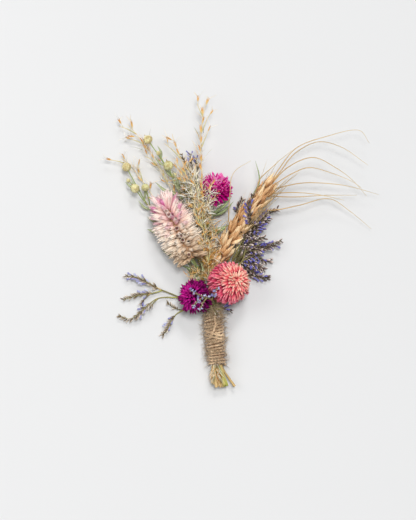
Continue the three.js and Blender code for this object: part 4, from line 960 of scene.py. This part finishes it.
def seed_pod(growth, line, radius, tint):
    """A ribbed capsule that goes on from the end of its branch."""
    end = line[-1]
    way = unit(line[-1] - line[-3])
    height, width = np.array(POD_RINGS).T
    angle = np.arange(POD_CORNERS) / POD_CORNERS * 2 * math.pi
    rib = sum((deep * np.cos(angle * count + tint * turn) for deep, count, turn in POD_WAVES), 1.0)
    centre = end + way * (height[:, None] - POD_SINK) * POD_LENGTH * radius
    growth.sweep(centre, ring(width[:, None] * radius * rib, POD_CORNERS), tint=tint, kind=FLOWER)
    for sepal, outward in whorl(way[None], UP[None], SEPALS, 0.5, np.array([tint * 5])):
        growth.sow(SEPAL, end[None], sepal, -outward, SEPAL_SIZE * radius, tint=tint, kind=LEAF)


def pod_green(s):
    streak = s.streaks(across=2, along=5)
    stalk = stalk_colour(s, (132, 152, 84), (182, 192, 128), (222, 196, 130), 0.25)
    leaf = s.blend((streak - 0.3) * 2.2, (108, 122, 76), (212, 216, 178))
    leaf = s.blend(abs(s.mark("side")) < 0.16, leaf, (204, 210, 168))
    spots = ((s.mottle(480, 6.0) - 0.46) * 7).levelled()
    fibres = s.streaks(across=4, along=1.6)
    pod = s.blend(s.mark("tint"), (252, 238, 184), (226, 224, 170))
    pod = s.blend((fibres - 0.44) * 3.6, pod, (150, 150, 92))
    pod = s.blend(s.math("MAXIMUM", spots, 0.0) * 0.6, pod, (158, 126, 72))
    pod = s.blend(s.mark("share") > 0.93, pod, (150, 110, 60))
    colour = s.from_kind(FLOWER, s.from_kind(LEAF, stalk, leaf), pod)
    relief = s.bump(fibres + spots * 0.3, 0.0004)
    return {"Base Color": colour, "Roughness": 0.75, "Specular IOR Level": 0.25, "Normal": relief}


POD_GREEN = finish("pod_green", pod_green)


def pod_spray(name, branches, leaves):
    """One spray: each branch with its pod's radius and its way, and each leaf with its width."""
    growth = Growth()
    for i, (radius, *points) in enumerate(branches):
        line = line_through(points, 0.9)
        growth.tube(line, BRANCH_RADII, 7, tint=0.4)
        seed_pod(growth, line, radius, (0.37 * i + 0.1) % 1)
    for i, (width, *points) in enumerate(leaves):
        growth.blade(points, width * LEAF_SLIMNESS, fold=0.4, spacing=0.6, tint=(0.61 * i) % 1)
    piece(growth, name, POD_GREEN)


pod_spray("pod_spray_upper", [
    (2.3, *bound(-1, 0), [-19.2, -27, 3.2], [-23.4, -12, 3], [-27.4, 6, 4.4], [-32.8, 24, 7],
     [-38, 35.4, 8], [-44.8, 46.4, 8.4], [-50.6, 54.8, 8]),
    (1.2, [-41.4, 41.2, 8.3], [-43.6, 45, 10.4], [-45.4, 48, 11.4]),
    (2.5, [-36, 31.4, 7.8], [-38.4, 36.6, 10.6], [-39.6, 40, 11.4]),
    (1.3, [-34.4, 28, 7.4], [-34.6, 32.6, 9.4], [-36.6, 36, 10]),
], [
    (1.8, [-44.6, 46.2, 8.4], [-44.4, 49.4, 9.6], [-46.6, 53.4, 9.6]),
    (1.8, [-38.2, 35.8, 8.1], [-40.6, 38, 7], [-43.6, 42.6, 6.4]),
    (3.0, [-33, 24.6, 7.1], [-37.6, 27.2, 8.4], [-42.6, 28.8, 9], [-48, 33.6, 8.6]),
    (1.8, [-42, 42, 8.4], [-44.6, 43.4, 8.8], [-48, 47, 8.4]),
    (1.6, [-35, 29, 7.4], [-33.4, 33, 9], [-34.2, 37.4, 9.6]),
    (2.6, [-34.6, 28.6, 7.4], [-35.6, 34, 10.6], [-38.4, 39, 12.4]),
    (2.2, [-34.2, 27.6, 7.4], [-36.6, 32, 10.6], [-38.6, 35.4, 11.6]),
])
pod_spray("pod_spray_left", [
    (2.3, *bound(-1.5, -1), [-21.4, -26, 1.8], [-30.6, -10, 1.1], [-40.8, 4.6, 1.2], [-50, 17.6, 2.6],
     [-57, 29.4, 5.4], [-62.6, 39.6, 7]),
    (2.4, [-51.6, 20.4, 3.2], [-55.2, 24.6, 6.4], [-57.6, 28, 8.4]),
    (2.0, [-50.4, 18.4, 2.8], [-51.4, 24.4, 6.4], [-52.6, 28.6, 8.2]),
    (1.1, [-56.4, 28.4, 5.2], [-60, 31.4, 6], [-61.8, 33.4, 6.4]),
], [
    (2.0, [-50.4, 18.2, 2.8], [-53.8, 19.4, 4.4], [-57.4, 23.4, 5]),
    (2.0, [-45.6, 11.4, 1.8], [-48.6, 11.6, 3.4], [-52.6, 14.4, 4]),
    (4.0, [-41.4, 5.4, 1.3], [-46, 5.2, 3.4], [-52.4, 7.4, 5]),
    (4.0, [-33.4, -6.2, 1.1], [-39, -6.6, 2.6], [-44.8, -3.4, 4.4]),
    (1.8, [-53.6, 24, 4], [-53.4, 28.4, 5.4], [-55, 33, 6]),
    (2.8, [-56.4, 28.6, 5.3], [-60.6, 30.4, 7.4], [-64.4, 33.4, 8]),
    (2.4, [-56.2, 28.2, 5.2], [-59, 31, 8.4], [-61, 35, 9]),
    (1.8, [-47, 14, 2.2], [-46.6, 19, 4], [-48, 24, 5]),
])

# Celosia plume. Silky dry florets stand out all round a thin core, each of five pointed tepals
# round a small hollow; pink at the plume's tip, cream in the middle, tan and shaggy at its foot.
PLUME_RADIUS = 11.5
PLUME_FLATNESS = 0.75
PLUME_CORE_RADII = (2.6, 2.4, 1.2)
FLORETS = 230
TEPALS = 5
TEPAL_SPREAD = 0.05
FLORET_ROOT = 1.6  # how far a floret's root lies from the middle of the plume
GOLDEN_TURN = math.pi * (3 - math.sqrt(5))
TEPAL_SECTION = [
    (1, -0.42), (0.55, -0.06), (0, 0.09), (-0.55, -0.06), (-1, -0.42), (-0.52, -0.2),
    (0, -0.05), (0.52, -0.2),
]
CLOSED_TEPAL = Shape(
    [(0.02, 0.35, 1, 0.1), (0.14, 0.8, 1, 0.6), (0.3, 1, 1, 0.95), (0.5, 1, 1, 0.96),
     (0.7, 0.82, 0.9, 0.76), (0.88, 0.42, 0.6, 0.4)],
    TEPAL_SECTION, ((0, 0), (1, 0.2)),
)
OPEN_TEPAL = Shape(
    [(0.02, 0.35, 1, 0.1), (0.16, 0.75, 1, 0.55), (0.4, 1, 1, 0.92), (0.62, 1, 1, 0.96),
     (0.82, 0.84, 1, 0.84), (0.95, 0.5, 0.8, 0.66)],
    TEPAL_SECTION, ((0, 0), (1, 0.56)),
)


def celosia_silk(s):
    fine = s.streaks(across=4, along=0.7, scale=3.5)
    tint, place = s.mark("tint"), s.mark("place")
    lit = s.mark("share") * 0.62 + fine * 0.56 - 0.02
    tip = s.ramp(lit, (0.1, 226, 190, 164), (0.4, 230, 172, 184), (0.7, 246, 218, 208), (1.0, 254, 242, 244))
    streaked = s.ramp(lit, (0.2, 236, 190, 200), (0.6, 204, 80, 146), (1.0, 240, 170, 206))
    middle = s.ramp(
        lit, (0.1, 232, 192, 160), (0.35, 240, 212, 188), (0.7, 250, 234, 214), (1.0, 254, 244, 236),
    )
    foot = s.ramp(lit, (0.1, 142, 104, 66), (0.4, 176, 142, 108), (0.75, 212, 182, 148), (1.0, 238, 220, 192))
    throat = s.blend(place > 0.3, (196, 154, 116), (222, 150, 150))
    where = place + tint * 0.16
    colour = s.blend((where - 0.14) * 2.6, foot, middle)
    colour = s.blend((where - 0.56) * 2.0, colour, s.blend((tint - 0.66) * 3.2, tip, streaked))
    colour = s.from_kind(LEAF, throat, colour)
    return {"Base Color": colour, "Roughness": 0.5, "Normal": s.bump(fine, 0.0002, 0.45)}


rng = np.random.default_rng(23)
plume = Growth()
plume.tube(np.linspace(PLUME_BASE, PLUME_TIP, 10), PLUME_CORE_RADII, 14, place=0.1, tint=0.2)
share = ((np.arange(FLORETS) + 0.5) / FLORETS) ** 0.85
angle = np.arange(FLORETS) * GOLDEN_TURN + rng.normal(0, 0.12, FLORETS)
side = unit(np.cross(PLUME_AXIS, UP))
rise = np.cross(side, PLUME_AXIS)
outward = unit(np.cos(angle)[:, None] * side + PLUME_FLATNESS * np.sin(angle)[:, None] * rise)
lean = math.pi * (-0.06 + 0.16 * share + np.maximum(0, share - 0.7)) + rng.normal(0, 0.07, FLORETS)
way = outward * np.cos(lean)[:, None] + PLUME_AXIS * np.sin(lean)[:, None]
way = unit(way + rng.normal(0, 0.05, (FLORETS, 3)))
plume_length = np.linalg.norm(PLUME_TIP - PLUME_BASE)
root = PLUME_BASE + PLUME_AXIS * (share * plume_length)[:, None] + way * FLORET_ROOT
reach = PLUME_RADIUS * np.minimum(1.14, 0.92 + 0.7 * share) * (1 - 0.26 * np.abs(outward[:, 2]))
length = (reach - FLORET_ROOT) * rng.uniform(0.9, 1.04, FLORETS)
plump = rng.uniform(0.66, 0.96, FLORETS)
tint = rng.random(FLORETS)
# Only the florets that face straight out of the plume's front show their hollow
opened = (outward[:, 2] > 0.93) & (np.abs(outward @ side) < 0.16)
turn = rng.uniform(0, 6, FLORETS)
for tepal, around in whorl(way, PLUME_AXIS[None] + 0 * way, TEPALS, TEPAL_SPREAD, turn):
    long = length * rng.uniform(0.8, 1.1, FLORETS)
    sizes = np.column_stack([1.1 * plump, long, 1.15 * plump * rng.uniform(0.8, 1.15, FLORETS)])
    for shape, these in ((OPEN_TEPAL, opened), (CLOSED_TEPAL, ~opened)):
        plume.sow(shape, (root + around * 0.08)[these], tepal[these], around[these], sizes[these],
                  tint=tint[these], place=share[these])
sizes = np.column_stack([0.8 * plump, length * 0.8, 0.8 * plump])[opened]
plume.sow(HUSK, root[opened], way[opened], rise, sizes, tint=tint[opened], kind=STEM)
piece(plume, "celosia_plume", finish("celosia_silk", celosia_silk))

# Globe amaranth heads. Stiff papery bracts with a sharp keel, set in a spiral round a small core.
# On the salmon and purple heads they slant away from the apex, on the magenta one they stand
# straight out, with a few tiny orange florets between them.
BRACT = Shape(
    [(0.04, 0.5, 0.6, 0), (0.3, 0.9, 0.9, 0.2), (0.58, 1, 1, 0.3), (0.78, 0.74, 0.8, 0.2),
     (0.92, 0.34, 0.45, -0.05)],
    [(1, -0.4), (0.5, 0.1), (0, 0.7), (-0.5, 0.1), (-1, -0.4), (0, 0.0)], ((0, 0), (1, -0.3)),
)
BALL_SHARE = 0.64  # the core's radius as a share of the head's
NEIGHBOUR_GAP = 0.35
ORANGE_FLORET = (236, 140, 60)
FLORET_SIZE = (0.22, 1.0, 0.3)


def pressed_clear(growth, neighbour):
    """Moves a head's points out of the ball that its neighbour fills."""
    centre, least = np.array(neighbour["centre"]), neighbour["radius"] + NEIGHBOUR_GAP
    for points in growth.points:
        away = points - centre
        far = np.linalg.norm(away, axis=1, keepdims=True)
        points[:] = np.where(far < least, centre + away / far * least, points)


def amaranth(name, head, count, material, seed, slant=0.0, slim=1.0, wild=0.12, crown=0.0,
             deep=0.4, neighbour=None, florets=0):
    """A head of bracts: slant turns them from the apex, slim is their width, wild and crown scatter
    them all over and at the apex, and deep is the share of the radius where they are rooted."""
    rng = np.random.default_rng(seed)
    growth = Growth()
    centre, axis, radius = np.array(head["centre"]), unit(head.get("apex", head["axis"])), head["radius"]
    side = unit(np.cross(axis, [1, 0, 0]))
    third = np.cross(axis, side)
    height = np.linspace(0.99, -0.93, 9)
    ball = np.sqrt(1 - height**2)[:, None] * radius * BALL_SHARE
    core_line = centre + axis * (-height[:, None]) * radius * BALL_SHARE
    growth.sweep(core_line, ring(ball, 16), up=side)
    index = np.arange(count)
    height = (0.997 - 1.87 * ((index + 0.5) / count) ** 1.12)[:, None]
    from_axis = np.sqrt(1 - height**2)
    turn = (index * GOLDEN_TURN + rng.normal(0, 0.1, count))[:, None]
    round_axis = np.cos(turn) * side + np.sin(turn) * third
    outward = axis * height + round_axis * from_axis
    away_from_apex = round_axis * height - axis * from_axis
    stray = rng.normal(0, 1, (count, 3)) * (wild + crown * (1 - from_axis))
    tip = unit(outward + stray) * radius * rng.uniform(0.86 - wild, 1.02 + wild / 2, (count, 1))
    slanted = away_from_apex * slant * np.minimum(1, (from_axis * 1.4) ** 1.5)
    root = unit(outward - slanted) * radius * deep
    wide = radius * (0.052 + 0.018 * from_axis[:, 0]) * slim * rng.uniform(0.8, 1.2, count)
    sizes = np.column_stack([wide, np.linalg.norm(tip - root, axis=1), wide * 1.1])
    face = outward - away_from_apex * 0.5 if slant > 0 else away_from_apex
    place = (1 - height[:, 0]) / 2
    growth.sow(BRACT, root + centre, tip - root, face, sizes, tint=rng.random(count), place=place)
    if florets:
        facing = np.flatnonzero(tip[:, 2] > 0.75 * radius)
        way = unit(tip[rng.choice(facing, florets, replace=False)])
        for petal, around in whorl(way, axis[None] + 0 * way, 4, 0.35, rng.uniform(0, 6, florets)):
            growth.sow(PETAL, centre + way * radius * 0.9, petal, around, FLORET_SIZE, kind=FLORET)
    if neighbour:
        pressed_clear(growth, neighbour)
    piece(growth, name, material)


def papery(name, dark, low, body, tip, under, far):
    """Papery bracts: painted shade at the root and on the core, a pale tip that is partly painted highlight,
    and on the side far from the apex a deeper tone, partly the head's own and partly painted shade.
    """

    def make(s):
        fine = s.streaks(across=4, along=0.8, scale=3)
        crown = s.math("MAXIMUM", 0.07 - s.mark("place"), 0.0) * 3
        lit = s.mark("share") + fine * 0.34 - 0.17 + (s.mark("tint") - 0.5) * 0.24 + crown
        # The ramps run on lit, which brightens toward each bract's tip and at the apex. The dark stop at the
        # bract roots is painted shade between the bracts. The near side ends in a pale tip that is partly
        # painted highlight; the far side's deeper tone is partly the head's own and partly painted shade on
        # its lower side.
        near = s.ramp(lit, (0.4, *dark), (0.56, *low), (0.76, *body), (0.96, *tip))
        far_side_tone_and_shade = s.ramp(lit, (0.42, *dark), (0.68, *under), (0.95, *far))
        colour = s.blend((s.mark("place") - 0.1) * 3.2, near, far_side_tone_and_shade)
        # The core under the bracts takes the dark colour: painted shade seen through the gaps between them.
        colour = s.from_kind(FLORET, s.from_kind(LEAF, dark, colour), ORANGE_FLORET)
        relief = s.bump(fine, 0.00015, 0.5)
        return {"Base Color": colour, "Roughness": 0.65, "Specular IOR Level": 0.12, "Normal": relief}

    return finish(name, make)


# Each head's colours: painted shade at the roots and core, low, body, a pale tip partly painted highlight,
# and two far-side tones deepened partly by painted shade.
SALMON_PAPER = papery(
    "salmon_paper", (132, 14, 44), (222, 84, 98), (248, 142, 134), (255, 216, 192), (206, 66, 98),
    (248, 144, 162),
)
PURPLE_PAPER = papery(
    "purple_paper", (40, 0, 32), (106, 0, 78), (168, 0, 120), (208, 40, 154), (96, 0, 70), (130, 0, 94),
)
MAGENTA_PAPER = papery(
    "magenta_paper", (134, 0, 88), (214, 8, 140), (238, 40, 166), (252, 150, 212), (200, 4, 134),
    (224, 16, 150),
)
amaranth("salmon_amaranth_head", SALMON, 1040, SALMON_PAPER, 31,
         slant=0.66, slim=0.98, wild=0.08, crown=0.24, deep=0.6)
amaranth("purple_amaranth_head", PURPLE, 480, PURPLE_PAPER, 32,
         slant=0.3, slim=1.15, neighbour=SALMON)
amaranth("magenta_amaranth_head", MAGENTA, 460, MAGENTA_PAPER, 33, slim=1.1, florets=5)

# Jute binding. Two-ply brown twine wound eighteen times round the bundle, with two turns that
# cross over the others in front. Its plies are twisted together, stray fibres stand off all over
# and fray most at the front, and a short loose tail is pulled up across it.
TURNS = 18
TURN_STEPS = 62
TWIST = 4.2  # mm of twine for one full turn of its plies
PLY_RADIUS = 0.34
PLY_OFFSET = 0.3
FIBRES = 1000
FRAYED = 260
FRAY_ACROSS = (-4, 4.6)
FRAY_ALONG = (-4, 4)
FRAY_HEIGHT = 4.9
FRAY_BOW = 0.16  # how fast the frayed fibres lie lower, away from the middle of the front
WOUND_FROM, WOUND_REACH = 0.02, 0.955  # shares of the binding
TURN_SLANT = ((0, 0.45, 0.8, 1), (-0.2, -0.8, 0.1, 0.4))  # mm, at shares of the way down
BINDING_RADIUS = 4.95
BINDING_TAPER = 0.55
BINDING_WOBBLE = 0.17
FILLING_RADII = (4.5, 4.0)  # the bundle inside the twine
FILLING_INSET = 0.8
LOWEST_TWINE = 0.85  # the underside of the winding is pressed flat at this height
CROSSINGS = [(0.46, 0.34), (0.52, 0.42)]  # where each crossing turn starts and ends on the binding
CROSSING_WIDE, CROSSING_HIGH = 5.0, 5.15
TAIL = [[-12.2, -39.4, 8.6], [-14.9, -41.4, 10.3], [-14.6, -44.6, 10.5], [-15.6, -48.6, 10.5],
        [-17.4, -52.4, 9.9]]


def wander(rng, run, step, amount):
    """A value that drifts at random along a run, drawn anew at every step."""
    knots = np.arange(0, run[-1] + step, step)
    return np.interp(run, knots, rng.normal(0, amount, len(knots)))


def twine(growth, line, seed, face):
    """Two plies twisted round a line."""
    rng = np.random.default_rng(seed)
    across, _, rise = carried(line, face)
    run = np.concatenate([[0], lengths(line).cumsum()])
    phase = run / TWIST * 2 * math.pi + wander(rng, run, 9, 0.5)
    for ply in (0, math.pi):
        offset = np.cos(phase + ply)[:, None] * across + np.sin(phase + ply)[:, None] * rise
        swell = 1 + 0.1 * np.sin(run * 1.7 + ply) + rng.normal(0, 0.04, len(run))
        sections = ring(PLY_RADIUS * swell[:, None], 8)
        growth.sweep(line + offset * PLY_OFFSET, sections, up=rise[0], tint=0.3 + 0.4 * (ply > 0))


def jute(s):
    strand = s.noise(s.mark("side") * 2.2, s.mark("share") * 900, s.mark("tint") * 13, 1.6, 4.0)
    shown = strand * 0.7 + s.mottle(160) * 0.4
    body = s.ramp(shown, (0.32, 94, 64, 38), (0.48, 172, 132, 92), (0.62, 250, 220, 180))
    fibre = s.blend(s.mark("tint"), (146, 112, 76), (232, 206, 164))
    # The core under the twine is coloured dark brown: painted shade in the gaps between turns.
    colour = s.from_kind(BRISTLE, s.from_kind(LEAF, body, (126, 94, 64)), fibre)
    relief = s.bump(strand, 0.0003, 0.8)
    return {"Base Color": colour, "Roughness": 0.9, "Sheen Weight": 0.3, "Normal": relief}


rng = np.random.default_rng(41)
binding = Growth()
theta = np.linspace(0, TURNS * 2 * math.pi, TURNS * TURN_STEPS)
share = theta / theta[-1]
filling = np.linspace(WRAP_TOP + DOWN * FILLING_INSET, WRAP_END - DOWN * FILLING_INSET, 12)
# A core under the turns, coloured dark brown as painted shade in the gaps between them.
binding.tube(filling, FILLING_RADII, 20, tint=0.1, kind=LEAF)
wobble = wander(rng, theta, 1.1, 1)
slope = np.interp(share, *TURN_SLANT)
radius = BINDING_RADIUS - BINDING_TAPER * share + BINDING_WOBBLE * wobble
centre = WRAP_TOP + (WRAP_END - WRAP_TOP) * (WOUND_FROM + WOUND_REACH * share)[:, None]
centre = centre + DOWN * (slope * np.cos(theta) + 0.2 * np.roll(wobble, 37))[:, None]
wound = centre + RIGHT * (np.cos(theta) * radius)[:, None] + UP * (np.sin(theta) * radius)[:, None]
wound[:, 2] = np.maximum(wound[:, 2], LOWEST_TWINE)
twine(binding, wound, 42, DOWN)
for first, last in CROSSINGS:
    around = np.linspace(-0.25, math.pi + 0.25, 50)[:, None]
    place = WRAP_TOP + (WRAP_END - WRAP_TOP) * (first + (last - first) * (1 - np.cos(around)) / 2)
    crossing = place + RIGHT * np.cos(around) * CROSSING_WIDE + UP * np.sin(around) * CROSSING_HIGH
    twine(binding, crossing, round(first * 100), DOWN)
twine(binding, line_through(TAIL, 0.4), 43, UP)
# Stray fibres all over
pick = rng.integers(0, len(wound), FIBRES)
out = unit(wound[pick] - centre[pick])
way = unit(np.gradient(wound, axis=0)[pick]) * rng.choice([-1, 1], (FIBRES, 1))
way = way + DOWN * rng.normal(0, 0.7, (FIBRES, 1)) + out * rng.uniform(0, 0.5, (FIBRES, 1))
sizes = drawn(rng, FIBRES, 0.075, (1.8, 6.0), (-0.06, 0.14))
binding.sow(HAIR, wound[pick] + out * 0.55, way, out, sizes, tint=rng.random(FIBRES), kind=BRISTLE)
# Frayed fibres in front
fray = WRAP_TOP + UP * FRAY_HEIGHT + drawn(rng, FRAYED, FRAY_ACROSS, FRAY_ALONG, 0.0)
fray[:, 2] += 0.6 - FRAY_BOW * (fray[:, 0] - WRAP_TOP[0]) ** 2 / 4.2
across, along = rng.normal(0.4, 0.7, FRAYED), rng.normal(0.3, 0.8, FRAYED)
way = np.column_stack([across, along, rng.uniform(-0.25, 0.15, FRAYED)])
sizes = drawn(rng, FRAYED, (0.08, 0.16), (2, 5), 0.1)
binding.sow(HAIR, fray, way, UP, sizes, tint=rng.random(FRAYED), kind=BRISTLE)
piece(binding, "twine_wrap", finish("jute", jute))

# Floor, light and camera. A pale studio floor under two wide soft lights, overhead and from a
# window, with a panel at the left and an even bright surround; the camera looks straight down.
# Lengths here are metres in the shared frame.
FLOOR_REACH = 9.0
SUNS = [("overhead_light", 1.95, (-12, 5)), ("window_light", 0.85, (-40, 8))]
SUN_SPREAD = 14
PANEL_PLACE = (-0.8, 0.25, 0.9)
PANEL_TILT = (-15.5, -40.6)
PANEL_SIZE = 0.6
PANEL_ENERGY = 3.4
SURROUND_COLOUR = (0.97, 0.985, 1.0, 1.0)
SURROUND_STRENGTH = 0.32
CAMERA_PLACE = (-0.01788, -0.01106, 1.208)
SENSOR_WIDTH = 36
FOCAL_LENGTH = 151


def pale_floor(s):
    return {"Base Color": s.blend(s.mottle(3.0), (212, 212, 212), (215, 215, 215)), "Roughness": 0.9}


def stand(data, place=(0, 0, 0), tilt=(0, 0)):
    """A light, camera or floor at its place, tilted about X and Y by degrees."""
    made = bpy.data.objects.new(data.name, data)
    made.location = place
    made.rotation_euler = (math.radians(tilt[0]), math.radians(tilt[1]), 0)
    bpy.context.scene.collection.objects.link(made)
    return made


floor_mesh = bpy.data.meshes.new("floor")
corners = [(x * FLOOR_REACH, y * FLOOR_REACH, 0) for x, y in ((-1, -1), (1, -1), (1, 1), (-1, 1))]
floor_mesh.from_pydata(corners, [], [(0, 1, 2, 3)])
floor_mesh.materials.append(finish("pale_floor", pale_floor))
floor = stand(floor_mesh)

world = bpy.data.worlds.new("surround")
world.use_nodes = True
world.node_tree.nodes["Background"].inputs["Color"].default_value = SURROUND_COLOUR
world.node_tree.nodes["Background"].inputs["Strength"].default_value = SURROUND_STRENGTH
bpy.context.scene.world = world
for name, energy, tilt in SUNS:
    sun = bpy.data.lights.new(name, "SUN")
    sun.energy = energy
    sun.angle = math.radians(SUN_SPREAD)
    stand(sun, tilt=tilt)
panel = bpy.data.lights.new("left_panel", "AREA")
panel.shape = "SQUARE"
panel.size = PANEL_SIZE
panel.energy = PANEL_ENERGY
stand(panel, PANEL_PLACE, PANEL_TILT)

camera = bpy.data.cameras.new("camera")
camera.sensor_width = SENSOR_WIDTH
camera.lens = FOCAL_LENGTH
camera.clip_start = 0.05
bpy.context.scene.camera = stand(camera, CAMERA_PLACE)
bpy.context.scene.view_settings.view_transform = "Standard"
